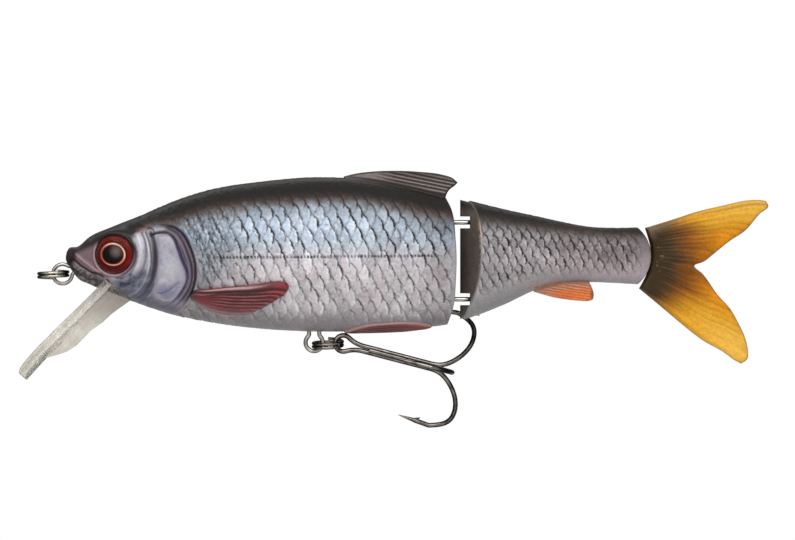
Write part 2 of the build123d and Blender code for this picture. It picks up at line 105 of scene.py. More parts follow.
def inside(x, z, points):
    """Which points lie inside the closed smooth outline."""
    p = resample(list(points) + [points[0]], 120)
    hit = np.zeros(x.shape, bool)
    for k in range(len(p) - 1):
        (x1, z1), (x2, z2) = p[k], p[k + 1]
        if z1 == z2:
            continue
        crosses = ((z1 > z) != (z2 > z)) & (x < (x2 - x1) * (z - z1) / (z2 - z1) + x1)
        hit ^= crosses
    return hit


def signed(x, z, points):
    """Distance to a closed outline, positive inside it."""
    d = line_distance(x, z, list(points) + [points[0]])[0]
    return np.where(inside(x, z, points), d, -d)


def rgb(r, g, b):
    """A display colour out of 255 as linear light."""
    c = np.array([r, g, b]) / 255
    return np.where(c <= 0.04045, c / 12.92, ((c + 0.055) / 1.055) ** 2.4)


def mix(a, b, t):
    t = np.asarray(t)[..., None]
    return a * (1 - t) + b * t


def layers(colour, *coats):
    """The colour with each display colour mixed over it in turn, by its own amount."""
    for tone, amount in coats:
        colour = mix(colour, rgb(*tone), amount)
    return colour


def noise(x, y, scale, channel=0):
    """Soft value noise, the same on every run."""
    u, v = np.asarray(x) / scale, np.asarray(y) / scale
    i, j = np.floor(u).astype(int), np.floor(v).astype(int)
    fu, fv = u - i, v - j
    fu, fv = fu * fu * (3 - 2 * fu), fv * fv * (3 - 2 * fv)

    def at(a, b):
        return LUT[a % 256, b % 256, channel]

    top = at(i, j) * (1 - fu) + at(i + 1, j) * fu
    low = at(i, j + 1) * (1 - fu) + at(i + 1, j + 1) * fu
    return top * (1 - fv) + low * fv


def grain(x, y, scale, channel=0):
    """Two octaves of noise about zero."""
    return (noise(x, y, scale, channel) + 0.5 * noise(x, y, scale / 2.3, channel) - 0.75) / 0.75


# ------------------------------------------------------------------ body outlines, mm
FRONT = [
    (0.6, 3.3, 2.7, 0.25), (0.7, 3.9, 2.3, 0.7), (1.0, 4.4, 1.75, 1.15), (1.5, 4.75, 0.95, 1.6),
    (2.1, 4.88, 0.1, 2.0), (2.8, 5.1, -0.75, 2.4), (5.0, 6.9, -1.9, 3.7), (9.0, 8.7, -3.6, 5.1),
    (15.0, 11.1, -5.8, 6.6), (19.5, 13.1, -7.3, 7.3), (27.0, 15.6, -8.9, 8.0), (37.0, 17.2, -10.2, 8.3),
    (47.0, 18.0, -10.7, 8.2), (57.0, 17.5, -10.6, 7.8), (65.0, 16.1, -10.2, 7.4),
    (73.4, 13.9, -9.2, 6.9),
]
REAR = [
    (73.8, 14.15, -8.75, 6.8), (77.5, 13.2, -7.55, 6.4), (82.0, 12.1, -5.75, 5.6),
    (88.0, 10.8, -3.0, 4.6), (93.0, 9.7, -1.7, 3.9), (98.0, 8.8, -1.5, 3.4), (103.0, 8.6, -1.7, 3.1),
    (109.8, 8.8, -2.1, 2.8),
]
FRONT_EDGE = [(-9.8, 71.6), (-6.0, 72.75), (-2.0, 73.1), (6.5, 73.1), (12.6, 72.2), (14.6, 71.2)]
WIDEST, BACK, SHOULDER, FLANK, BELLY = 0.55, 0.5, 0.6, 0.56, 0.44
LATERAL = 3.1
NOSE_X, NOSE_HALF = 73.95, 0.5
END_X, END_Z, END_R = 102.0, 3.35, 7.4
HINGE_X, SLOT_END, SLOT_HALF, POCKET_R = 76.7, 75.8, 1.1, 2.15
HINGES = (9.6, -4.7)
# the front edge of the rear body, z and x
REAR_EDGE = [
    (-8.6, 74.6), (-6.6, 75.3), (-4.0, 76.4), (-1.0, 77.2), (3.0, 77.65), (7.0, 77.65), (10.0, 77.25),
    (12.5, 76.4), (13.9, 75.4),
]
# where the dark back ends, x and z
BACK_LINE = [
    (0, 4.1), (2, 4.6), (5, 5.4), (8.5, 6.6), (13, 7.1), (15.5, 8.2), (21, 9.2), (25, 10.5), (33, 12.0),
    (44, 12.9), (55, 13.0), (63, 11.7), (70, 10.2), (76, 9.9), (85, 8.6), (93, 7.7), (100, 6.9),
    (110, 6.4),
]


def section(top, bottom, half, count):
    """Half a body section from back to belly, at even steps of arc."""
    widest = bottom + WIDEST * (top - bottom)
    t = np.linspace(0, 1, 90)[:, None]

    def curve(a, b, c, d):
        a, b, c, d = (np.array(p, float) for p in (a, b, c, d))
        return (1 - t) ** 3 * a + 3 * (1 - t) ** 2 * t * b + 3 * (1 - t) * t**2 * c + t**3 * d

    upper = curve((0, top), (BACK * half, top), (half, widest + SHOULDER * (top - widest)), (half, widest))
    lower = curve(
        (half, widest), (half, widest - FLANK * (widest - bottom)), (BELLY * half, bottom), (0, bottom),
    )
    p = np.vstack([upper, lower[1:]])
    s = np.concatenate([[0], np.cumsum(np.linalg.norm(np.diff(p, axis=0), axis=1))])
    at = np.linspace(0, s[-1], count)
    return np.interp(at, s, p[:, 0]), np.interp(at, s, p[:, 1]), at


class Body:
    """The smooth skin of one body as tables over x and the step round the section."""

    def __init__(self, stations, count):
        self.x = np.linspace(stations[0][0], stations[-1][0], 500)
        rows = [section(*(hermite(x, stations, k) for k in (1, 2, 3)), count) for x in self.x]
        self.y = np.array([r[0] for r in rows])
        self.z = np.array([r[1] for r in rows])
        self.arc = np.array([r[2] for r in rows])
        level = np.array([np.interp(-LATERAL, -z, a) for z, a in zip(self.z, self.arc)])
        self.arc = level[:, None] - self.arc

    def read(self, x, v):
        """Skin points for an array of x whose second axis is the section step."""
        out = [np.empty(x.shape) for _ in range(3)]
        for k in range(x.shape[1]):
            for o, table in zip(out, (self.y, self.z, self.arc)):
                o[:, k] = np.interp(x[:, k], self.x, table[:, v[k]])
        return out

    def edges(self, x):
        """Belly and back heights at x."""
        return np.interp(x, self.x, self.z[:, -1]), np.interp(x, self.x, self.z[:, 0])

    def width(self, x, z):
        """Half width of the skin at points of the side view."""
        flat_x, flat_z = np.ravel(x), np.ravel(z)
        i = np.clip(np.searchsorted(self.x, flat_x), 1, len(self.x) - 1)
        out = np.empty(flat_x.shape)
        for k, (n, at) in enumerate(zip(i, flat_z)):
            t = (flat_x[k] - self.x[n - 1]) / (self.x[n] - self.x[n - 1])
            row_z = self.z[n - 1] * (1 - t) + self.z[n] * t
            row_y = self.y[n - 1] * (1 - t) + self.y[n] * t
            out[k] = np.interp(-at, -row_z, row_y)
        return out.reshape(np.shape(x))


# ------------------------------------------------------------------ meshes
WELD = 0.0006  # points nearer than this, in mm, become one


def build(name, blocks):
    """A mesh object from grids of points in mm; each grid may carry named values per point."""
    points, faces, values, names = [], [], {}, set()
    start = 0
    for block in blocks:
        names.update(block.get("values", {}))
    for block in blocks:
        p = np.asarray(block["points"], float).reshape(-1, 3)
        points.append(p)
        if "grid" in block:
            n, m = block["grid"]
            k = np.arange(n * m).reshape(n, m) + start
            quads = np.stack([k[:-1, :-1], k[1:, :-1], k[1:, 1:], k[:-1, 1:]], -1).reshape(-1, 4)
            faces.extend(quads.tolist())
        else:
            faces.extend([[i + start for i in f] for f in block["faces"]])
        for key in names:
            got = block.get("values", {}).get(key)
            if got is None:
                got = np.zeros((len(p), 3)) if key == "paint" else np.zeros(len(p))
            values.setdefault(key, []).append(np.asarray(got, float).reshape(len(p), -1))
        start += len(p)
    mesh = bpy.data.meshes.new(name)
    mesh.from_pydata((np.vstack(points) * MM).tolist(), [], faces)
    for key, parts in values.items():
        data = np.vstack(parts)
        if data.shape[1] == 3:
            layer = mesh.attributes.new(key, "FLOAT_COLOR", "POINT")
            layer.data.foreach_set("color", np.hstack([data, np.ones((len(data), 1))]).ravel())
        else:
            layer = mesh.attributes.new(key, "FLOAT", "POINT")
            layer.data.foreach_set("value", data.ravel())
    bm = bmesh.new()
    bm.from_mesh(mesh)
    bmesh.ops.remove_doubles(bm, verts=bm.verts, dist=WELD * MM)
    bmesh.ops.recalc_face_normals(bm, faces=bm.faces)
    for face in bm.faces:
        face.smooth = True
    bm.to_mesh(mesh)
    bm.free()
    obj = bpy.data.objects.new(name, mesh)
    bpy.context.scene.collection.objects.link(obj)
    return obj


def sharpen(obj, degrees=40):
    """Marks crease edges so that flat faces and rims read as crisp."""
    limit = math.radians(degrees)
    bm = bmesh.new()
    bm.from_mesh(obj.data)
    for edge in bm.edges:
        if len(edge.link_faces) == 2 and edge.calc_face_angle(0) > limit:
            edge.smooth = False
    bm.to_mesh(obj.data)
    bm.free()


def prism(name, outline, low, high, plane="xy"):
    """A closed prism of an outline, used only as a cutter."""
    n = len(outline)
    points = []
    for level in (low, high):
        for a, b in outline:
            points.append((a, b, level) if plane == "xy" else (a, level, b))
    faces = [[i, (i + 1) % n, n + (i + 1) % n, n + i] for i in range(n)]
    faces += [list(range(n))[::-1], [n + i for i in range(n)]]
    return build(name, [{"points": points, "faces": faces}])


def cut(obj, cutter):
    mod = obj.modifiers.new("cut", "BOOLEAN")
    mod.operation = "DIFFERENCE"
    mod.solver = "EXACT"
    mod.object = cutter
    graph = bpy.context.evaluated_depsgraph_get()
    mesh = bpy.data.meshes.new_from_object(obj.evaluated_get(graph), depsgraph=graph)
    old = obj.data
    obj.modifiers.clear()
    obj.data = mesh
    bpy.data.meshes.remove(old)
    used = cutter.data
    bpy.data.objects.remove(cutter)
    bpy.data.meshes.remove(used)
    spread_paint(obj.data)


def spread_paint(mesh):
    """Gives the new points of a cut the paint of the points beside them, a little darker."""
    count = len(mesh.vertices)
    rough = np.zeros(count)
    mesh.attributes["rough"].data.foreach_get("value", rough)
    paint = np.zeros(count * 4)
    mesh.attributes["paint"].data.foreach_get("color", paint)
    paint = paint.reshape(-1, 4)
    ends = np.zeros(len(mesh.edges) * 2, int)
    mesh.edges.foreach_get("vertices", ends)
    ends = ends.reshape(-1, 2)
    for _ in range(6):
        bare = rough == 0
        if not bare.any():
            break
        total, weight = np.zeros((count, 5)), np.zeros(count)
        both = np.hstack([paint, rough[:, None]])
        for a, b in ((0, 1), (1, 0)):
            use = bare[ends[:, a]] & ~bare[ends[:, b]]
            np.add.at(total, ends[use, a], both[ends[use, b]])
            np.add.at(weight, ends[use, a], 1)
        got = weight > 0
        paint[got] = total[got, :4] / weight[got, None] * (0.7, 0.7, 0.7, 1)
        rough[got] = total[got, 4] / weight[got]
    mesh.attributes["rough"].data.foreach_set("value", rough)
    mesh.attributes["paint"].data.foreach_set("color", paint.ravel())


# ------------------------------------------------------------------ scales
SKEW = 0.14  # how far a scale's free edge leans back towards the top


def scales(x, s, pitch=2.36, row=2.28, long=1.66, tall=2.62, salt=0):
    """Overlapping scales: place on each, shade behind its free edge, and three random values."""
    x, s = x + 0.15 * grain(x, s, 0.62, 0) + 0.07 * grain(x, s, 0.3, 2), s + 0.18 * grain(x, s, 0.62, 1)
    j0 = np.round(s / row).astype(int)
    best = np.full(x.shape, 1e9)
    keep = [np.zeros(x.shape) for _ in range(4)]
    found = []
    for dj in range(-2, 3):
        j = j0 + dj
        i0 = np.round(x / pitch - 0.5 * (j & 1)).astype(int)
        for di in (-1, 0, 1):
            i = i0 + di
            r = LUT[(i + salt) % 256, (j * 7 + salt) % 256]
            cx = (i + 0.5 * (j & 1)) * pitch + (r[..., 0] - 0.5) * 0.34
            cs = j * row + (r[..., 1] - 0.5) * 0.24
            a, b = long * (0.94 + 0.12 * r[..., 2]), tall
            ex = (x - cx + SKEW * (s - cs)) / a
            es = (s - cs) / b
            d = (np.abs(ex) ** 1.75 + np.abs(es) ** 1.75) ** (1 / 1.75)
            found.append((cx, d, ex, es, a))
            take = (d < 1) & (cx < best)
            best = np.where(take, cx, best)
            for slot, value in zip(keep, (ex, r[..., 1], r[..., 2], r[..., 3])):
                slot[...] = np.where(take, value, slot)
    shade = np.zeros(x.shape)
    for cx, d, ex, es, a in found:
        front = (cx < best - 1e-6) & (d >= 1) & (ex > 0)
        width = 0.16 + 0.36 * np.clip(1 - (1.5 * (es - 0.18)) ** 2, 0, 1)
        stroke = 1 - np.clip((d - 1) * a / width, 0, 1) ** 1.5
        weight = (
            (0.34 + 0.66 * smooth(-0.62, -0.12, es))
            * (0.45 + 0.8 * LUT[np.round(cx * 97).astype(int) % 256, j0 % 256, 2])
        )
        shade = np.maximum(shade, np.where(front, stroke * np.clip(weight, 0, 1), 0))
    return keep[0], shade, *keep[1:]


# ------------------------------------------------------------------ head lines, mm
EYE_X, EYE_Z = 9.68, 3.6
OPERCLE = [
    (17.9, 7.0), (19.0, 7.3), (20.1, 7.25), (21.0, 6.2), (21.7, 4.5), (22.3, 2.7), (23.1, 0.6),
    (23.25, -0.6), (22.9, -2.0), (22.2, -3.2), (20.9, -4.6), (19.4, -5.1), (18.0, -4.4), (17.6, -2.6),
    (17.8, 0.5), (18.0, 3.8),
]
MEMBRANE = [
    (16.0, 8.7), (17.6, 9.0), (19.3, 9.05), (21.4, 8.5), (23.1, 6.9), (24.2, 4.65), (24.9, 2.1),
    (25.0, -0.4), (24.5, -2.6), (23.3, -4.8), (21.8, -6.5), (20.2, -7.5), (18.0, -8.3),
]
GILL_SLIT = [
    (16.7, 7.4), (18.1, 7.7), (19.8, 7.65), (20.9, 6.75), (21.8, 4.65), (22.6, 2.4), (23.4, 0.45),
    (23.5, -1.2), (22.7, -2.9), (21.4, -4.6), (19.8, -5.7), (18.0, -6.2),
]
GILL_LINE = [
    (19.4, 8.4), (21.4, 7.5), (22.6, 5.8), (23.6, 3.5), (24.25, 1.0), (24.2, -0.9), (23.6, -2.9),
    (22.3, -4.8), (20.6, -6.5),
]
FOLD = [(17.9, -3.4), (18.9, -3.3), (19.9, -2.9), (20.9, -2.2), (21.8, -1.4)]
PRE_RIDGE = [
    (15.35, 7.3), (15.95, 5.9), (16.3, 4.4), (16.45, 2.7), (16.2, 0.75), (15.35, -1.5), (14.1, -3.15),
    (12.5, -4.0),
]
PRE_GROOVE = [
    (16.5, 7.7), (17.05, 6.3), (17.35, 4.65), (17.45, 2.7), (17.25, 0.75), (16.7, -1.2), (15.75, -2.9),
    (14.8, -4.15), (13.8, -5.0),
]
CHEEK_LINE = [
    (14.9, 7.7), (15.5, 6.3), (15.75, 4.65), (15.65, 2.7), (15.05, 0.75), (13.95, -0.95),
    (12.55, -1.75), (10.9, -1.7),
]
CHEEK_RIDGE = [
    (13.8, 7.7), (14.4, 6.3), (14.8, 4.65), (14.7, 3.0), (14.1, 1.0), (12.95, -0.4), (11.45, -1.05),
    (10.0, -0.95),
]
MOUTH = [(1.2, 2.1), (2.0, 2.6), (3.2, 1.6), (4.6, 0.7), (5.6, 0.1), (6.9, -0.1), (7.8, -0.6)]
JAW_LINE = [(2.0, 0.9), (3.2, -0.1), (4.6, -0.9), (6.2, -1.3)]
SNOUT_LINE = [(2.7, 3.6), (3.8, 2.7), (4.9, 1.9), (6.0, 1.0), (7.2, 0.4)]


def front_skin(x, z, s, top, bottom):
    """Relief in mm and finish of the front body at points of its skin."""
    height = np.zeros(x.shape)
    share = (z - bottom) / (top - bottom)
    head_edge, _ = line_distance(x, z, MEMBRANE)
    plate = signed(x, z, OPERCLE)
    in_head = inside(x, z, [(-2, 12), (12, 14), *MEMBRANE, (15, -12), (-2, -8)])
    beyond = np.where(in_head, 0, np.minimum(head_edge, 9))
    on = smooth(0.1, 0.9, beyond)

    # scales, fading out on the belly, the back and along the rear edge
    ex, shade, r1, r2, r3 = scales(x + 0.17, s + 0.87)
    level = z - hermite(x, BACK_LINE)
    band = smooth(-10.6, -6.6, z) * (1 - 0.95 * smooth(-0.2, 2.4, level))
    band = band * smooth(0.2, 1.6, 73.3 - x)
    height += 0.2 * (np.clip(ex, -0.4, 1) - 0.45) * on * (0.06 + 0.94 * band)
    height -= 0.09 * shade * on * band
    speck = grain(x, s, 0.42, 2)
    height += 0.035 * speck * on

    # paint: steel blue above, pale in the middle, pink and grey below
    silver = mix(rgb(176, 188, 202), rgb(206, 200, 203), smooth(7.5, 1.5, z + 0 * x))
    silver = layers(
        silver,
        ((194, 188, 190), smooth(0.5, -4.5, z)),
        ((140, 134, 137), smooth(-4.5, -9.0, z)),
    )
    # painted shade and light on the flank: darker towards the rounded rear edge, behind the gill and round
    # the pectoral fin, lighter across the middle and low down; it also darkens the flank just under the
    # back line
    tone = 1 - 0.42 * smooth(-4.5, -1.0, level)
    tone = tone * (1 - 0.32 * smooth(64.0, 72.5, x) - 0.24 * smooth(58, 67, x) * smooth(5.0, 9.5, z))
    tone = tone * (1 + 0.26 * smooth(16, 3, np.abs(x - 49)) * smooth(5.5, 1.0, np.abs(z - 3.0)))
    tone = (
        tone * (1 - (0.16 + 0.16 * smooth(3, 0, z)) * smooth(33, 25, x))
        * (1 + 0.12 * smooth(-4.0, -7.0, z))
    )
    tone = tone * (1 - 0.16 * smooth(45, 40, x) * smooth(0.5, -2.5, z))
    glint = (r1 - 0.5) * 0.34 + (r3 - 0.5) * 0.16 + 0.14 * speck
    paint = silver * (1 + glint * band * on)[..., None]
    paint = layers(
        paint,
        ((186, 160, 164), 0.35 * smooth(0.45, 0.9, r2) * smooth(8, 2, z) * smooth(-8, -3, z)),
        ((150, 172, 198), 0.35 * smooth(0.4, 0.95, r3) * smooth(2, 8, z) * smooth(60, 40, x)),
    )
    rough_edge = grain(x, s, 0.5, 1)
    strong = np.clip(0.9 + 0.6 * (r2 - 0.4) + 0.45 * rough_edge, 0.2, 1.25)
    lower = 0.7 + 0.3 * smooth(-2, 6, z)
    # painted shadow: a dark stroke behind each scale's free edge, where the next scale tucks under
    edge_shadow = np.clip(1.3 * shade * strong * lower, 0, 1) * band * on * (1 - 0.55 * smooth(-4.5, -8.0, z))
    # painted shadow: a patchy bluish grey shade on the part of each scale tucked under the scale in front
    tucked_shade = smooth(0.05, 0.7, grain(x, s, 0.8, 2)) * smooth(0.4, -0.4, ex)
    paint = mix(paint, rgb(88, 90, 102), 0.5 * tucked_shade * band * on * smooth(-6, 5, z))
    # painted highlight: a pale band along the raised free edge of each scale
    tip = np.clip(1 - np.abs(ex - 0.84) / 0.2, 0, 1) * (1 - shade)
    paint = mix(paint, rgb(232, 234, 238), 0.5 * tip * band * on * smooth(0.1, 0.8, r1 + 0.4 * rough_edge))
    mottle = grain(x, s, 0.5, 3)
    paint = layers(
        paint,
        ((92, 92, 100), 0.42 * smooth(0.25, 0.8, mottle) * band * on),
        ((236, 238, 240), 0.38 * smooth(-0.25, -0.8, mottle) * band * on),
        ((20, 20, 28), edge_shadow),
    )
    paint = paint * tone[..., None]

    # smaller, darker scales just behind the gill
    close = smooth(35.0, 28.0, x) * smooth(-3.0, 1.0, z) * on
    small = scales(x, s + 0.25 * x, 1.06, 1.15, 0.74, 1.3, 90)[1]
    ridge = grain(1.3 * x + 0.5 * z, 1.1 * z - 0.7 * x, 0.6, 1)
    paint = mix(paint, rgb(150, 168, 184) * 0.75, 0.35 * close)
    paint = layers(
        paint,
        # painted shadow strokes behind the small scales' edges, with dark streaks
        ((30, 34, 44), np.clip(1.1 * small + 0.7 * smooth(0.1, 0.6, ridge), 0, 1) * 0.72 * close),
        ((198, 208, 218), 0.45 * smooth(-0.2, -0.7, ridge) * (1 - small) * close),
    )
    height += (0.05 * ridge - 0.06 * small) * close

    # lateral line of dark dashes
    dash = smooth(0.34, 0.14, np.abs(z - LATERAL - 0.14 * noise(x, s * 0 + 9, 0.8) - 0.008 * (x - 45)))
    beat = 0.5 + 0.5 * np.cos(2 * math.pi * (x + 0.25 * noise(x, s * 0 + 1, 2.0)) / 0.62)
    dash = (
        dash * smooth(0.25, 0.6, beat + 0.5 * noise(x, s * 0 + 3, 0.5, 3) - 0.15)
        * smooth(25, 31, x) * smooth(72, 68, x)
    )
    paint = mix(paint, rgb(20, 16, 20), (0.5 + 0.6 * noise(x, s * 0 + 5, 3.5, 1)).clip(0, 1) * dash)

    # dark back with coppery flecks along its lower edge
    ragged = level + 0.5 * grain(x, s, 1.5, 0) + 0.4 * (ex - 0.3) * on
    dark = smooth(-1.4, 1.3, ragged)
    brown = mix(rgb(66, 49, 41), rgb(21, 15, 12), smooth(0.2, 2.4, level)) * (1 + 0.35 * speck)[..., None]
    near = smooth(-3.0, -0.6, level) * smooth(1.4, 0.2, level) * smooth(16, 20, x) * smooth(36, 28, x)
    fleck = smooth(-0.1, 0.5, grain(0.6 * x + s, s - 0.5 * x, 0.9, 3))
    paint = mix(paint, brown, dark)
    paint = mix(paint, rgb(112, 88, 78), 0.5 * near * fleck)
    # painted shadow: the strokes behind the scale edges, kept faintly in the dark back
    grey = smooth(0.2, 0.8, shade) * dark * on
    paint = mix(paint, rgb(14, 12, 11), 0.6 * grey)

    # belly darkens towards the keel
    paint = mix(paint, rgb(112, 104, 106), 0.65 * smooth(0.13, 0.0, share))

    # smooth head plates
    cheek = mix(rgb(188, 184, 192), rgb(158, 154, 168), smooth(13, 19, x))
    cheek = layers(
        cheek,
        ((120, 122, 140), smooth(2.4, -1.6, z) * smooth(18.2, 16.4, x) * smooth(8.5, 10.5, x)),
        ((94, 90, 100), smooth(-3.4, -5.4, z + 0.35 * (x - 17))),
        ((120, 98, 104), smooth(9.2, 6.0, x)),
    )
    cheek = cheek * (1 + 0.12 * grain(x, z, 0.7, 1))[..., None]
    bulge = smooth(0.0, 1.2, plate)
    height += np.where(in_head, 0.26 * smooth(-0.15, 0.35, plate) + 0.2 * bulge, 0)
    cheek = layers(
        cheek,
        ((168, 165, 176), smooth(0.1, 0.9, plate)),
        ((190, 188, 196), 0.6 * smooth(0.5, 1.4, plate) * smooth(2.5, 0.5, np.abs(z - 2.2))),
        ((116, 114, 138), 0.8 * smooth(0.2, 1.0, plate) * smooth(-0.6, -3.0, z)),
    )
    spot = smooth(0.9, 0.1, np.hypot((x - 18.6) / 0.7, z - 2.0))
    cheek = mix(cheek, rgb(128, 122, 172), 0.45 * spot)
    cloud = grain(x, z, 1.3, 0)
    cheek = layers(
        cheek,
        ((206, 202, 206), 0.45 * smooth(0.1, 0.7, cloud) * smooth(0.1, 0.9, plate)),
        ((134, 130, 152), 0.45 * smooth(-0.1, -0.7, cloud) * smooth(0.1, 0.9, plate)),
    )
    slit, at = line_distance(x, z, GILL_SLIT)
    fade = smooth(1.0, 0.75, at)
    width = (0.2 + 0.14 * np.sin(np.pi * at)) * (0.4 + 0.6 * fade)
    height -= 0.34 * smooth(0.42, 0.05, slit) * fade
    slit_tone = mix(rgb(34, 22, 30), rgb(64, 52, 92), smooth(6.8, 4.0, z))
    cheek = mix(cheek, slit_tone, 0.95 * smooth(width + 0.16, width * 0.5, slit) * (0.25 + 0.75 * fade))
    outer = smooth(0.2, 0.6, slit) * (plate < 0) * smooth(18.5, 20.0, x) * smooth(-7.0, -4.0, z)
    cheek = mix(cheek, mix(rgb(52, 46, 62), rgb(38, 24, 36), smooth(0.9, 0.2, head_edge)), outer)
    gill, at = line_distance(x, z, GILL_LINE)
    fade = np.sin(np.pi * np.clip(at, 0, 1)) ** 0.5
    height -= 0.2 * smooth(0.32, 0.04, gill) * fade
    cheek = mix(cheek, rgb(60, 40, 56), 0.85 * smooth(0.26, 0.06, gill) * fade)
    lit = np.where(in_head, smooth(0.34, 0.1, np.abs(gill - 0.42)), 0) * fade * (head_edge > 0.25)
    cheek = mix(cheek, rgb(150, 138, 152), 0.5 * lit * (x > 19))
    height += 0.2 * smooth(0.5, 0.1, head_edge) * in_head * smooth(-7.5, -5.0, z)
    height -= 0.18 * smooth(0.45, 0.05, head_edge) * ~in_head * smooth(-7.5, -5.0, z)
    # painted shade: the preopercle groove is painted near black along its sunk line
    groove, at = line_distance(x, z, PRE_GROOVE)
    wide = (0.2 + 0.26 * np.sin(np.pi * np.clip(at * 1.1, 0, 1))) * smooth(1.02, 0.7, at)
    height -= 0.34 * smooth(0.85, 0.1, groove) * smooth(1.0, 0.8, at)
    tone = mix(rgb(36, 22, 28), rgb(48, 34, 48), smooth(5.5, 0.5, z))
    cheek = mix(cheek, tone, 0.95 * smooth(wide + 0.42, wide * 0.4, groove) * smooth(1.0, 0.8, at))
    # the preopercle ridge: a dark line at the groove's edge, and a painted highlight along the ridge
    ridge, at = line_distance(x, z, PRE_RIDGE)
    height += 0.26 * smooth(0.55, 0.05, ridge) * smooth(1.0, 0.7, at)
    edge_line = smooth(0.2, 0.06, np.abs(groove - 0.78)) * (x < 17.3) * smooth(1.0, 0.8, at)
    cheek = layers(
        cheek,
        ((44, 34, 48), 0.8 * edge_line),
        ((206, 208, 216), (0.9 - 0.5 * at) * smooth(0.3, 0.05, ridge)),
    )
    gap, at = line_distance(x, z, CHEEK_LINE)
    height -= 0.22 * smooth(0.42, 0.05, gap)
    cheek = mix(cheek, rgb(82, 76, 94), 0.75 * smooth(0.34, 0.06, gap) * (1 - 0.4 * at))
    # painted highlight along the cheek ridge
    ridge, at = line_distance(x, z, CHEEK_RIDGE)
    height += 0.18 * smooth(0.6, 0.05, ridge)
    cheek = mix(cheek, rgb(214, 214, 220), 0.65 * smooth(0.5, 0.05, ridge) * (1 - 0.5 * at))
    fold, _ = line_distance(x, z, FOLD)
    height -= 0.12 * smooth(0.3, 0.03, fold)
    cheek = mix(cheek, rgb(84, 82, 116), 0.75 * smooth(0.2, 0.04, fold))
    around = np.arctan2(z - 3.5, x - 9.7)
    lower = smooth(1.6, -0.6, z) * smooth(17.2, 16.0, x) * smooth(9.5, 11.0, x)
    streak = grain(np.hypot(x - 9.7, z - 3.5) * 1.1, around * 3.0, 0.5, 2)
    height += 0.1 * streak * lower
    cheek = layers(
        cheek,
        ((78, 82, 98), 0.55 * lower),
        ((40, 42, 58), 0.85 * smooth(0.1, 0.7, streak) * lower),
        ((160, 164, 180), 0.5 * smooth(-0.15, -0.6, streak) * lower),
    )

    # round the eye: a pale lid in front of it, painted shade of the brow over its top and round its upper
    # back side, and the dark back reaching a little lower above it
    r = np.hypot(x - EYE_X, z - EYE_Z)
    cheek = layers(
        cheek,
        ((84, 62, 70), 0.75 * smooth(5.4, 4.2, r) * smooth(9.8, 8.6, x)),
        ((20, 11, 12), smooth(5.4, 4.2, r) * smooth(5.2, 6.6, z) * smooth(13.6, 12.6, x)),
        ((44, 26, 30), 0.9 * smooth(4.8, 4.0, r) * smooth(-0.6, 1.6, x - EYE_X + z - EYE_Z)),
        ((26, 16, 18), 0.85 * smooth(-1.4, -0.2, level) * smooth(14.6, 13.0, x) * smooth(6.0, 8.0, x)),
    )

    # snout, mouth and jaw
    snout = smooth(7.6, 5.6, x)
    cheek = layers(
        cheek,
        ((118, 96, 104), 0.8 * snout * smooth(0.2, 1.4, z)),
        ((50, 36, 38), snout * smooth(-0.3, 1.0, z - 3.4 - 0.45 * (x - 2.6))),
    )
    jaw_tone = mix(
        rgb(70, 64, 63), rgb(138, 133, 132), smooth(-0.3, 0.6, grain((x + z) * 0.5, z - 0.8 * x, 0.5, 2)),
    )
    below = 1.7 - 0.5 * (x - 2.2)
    cheek = mix(cheek, jaw_tone, smooth(0.3, -0.4, z - below) * smooth(9.2, 7.6, x))
    lit, _ = line_distance(x, z, SNOUT_LINE)
    height += 0.16 * smooth(0.5, 0.05, lit)
    cheek = mix(cheek, rgb(184, 148, 158), 0.7 * smooth(0.32, 0.05, lit))
    mouth, _ = line_distance(x, z, MOUTH)
    height -= 0.4 * smooth(0.4, 0.04, mouth)
    cheek = mix(cheek, rgb(26, 18, 20), 0.95 * smooth(0.32, 0.08, mouth))
    jaw, _ = line_distance(x, z, JAW_LINE)
    height -= 0.2 * smooth(0.4, 0.05, jaw)
    cheek = mix(cheek, rgb(36, 30, 32), 0.7 * smooth(0.28, 0.05, jaw))
    nub = smooth(0.75, -0.1, np.hypot((x - 1.5) / 1.15, (z - 3.5) / 1.5) - 0.75)
    cheek = mix(cheek, rgb(22, 16, 17), nub)
    height += 0.22 * nub * smooth(0.8, 1.4, x)
    cheek = mix(cheek, rgb(40, 32, 32), smooth(2.4, 1.2, x + 0.3 * grain(x, z, 0.8)))

    crown = smooth(-0.45, 0.45, level + 0.25 * grain(x, z, 0.9, 1))
    crown_paint = mix(rgb(38, 26, 25), rgb(17, 14, 13), smooth(0.4, 2.0, level))
    cheek = mix(cheek, crown_paint, crown)
    tan = smooth(1.0, 0.2, np.hypot((x - 15.2) / 1.6, (z - 8.1) / 0.8) + 0.3 * grain(x, z, 0.6))
    cheek = mix(cheek, rgb(134, 108, 100), 0.6 * tan)
    mask = np.where(in_head, 1.0, smooth(0.35, 0.0, head_edge))
    mask = mask * smooth(-8.6, -6.8, z + 0.2 * (x - 19))
    paint = mix(paint, cheek, mask)
    metal = 0.34 * (1 - mask) * (1 - dark) * smooth(-10, -6, z) + 0.1 * mask
    rough = 0.42 + 0.02 * dark + 0.1 * shade * (1 - dark)
    return height, paint, metal, rough


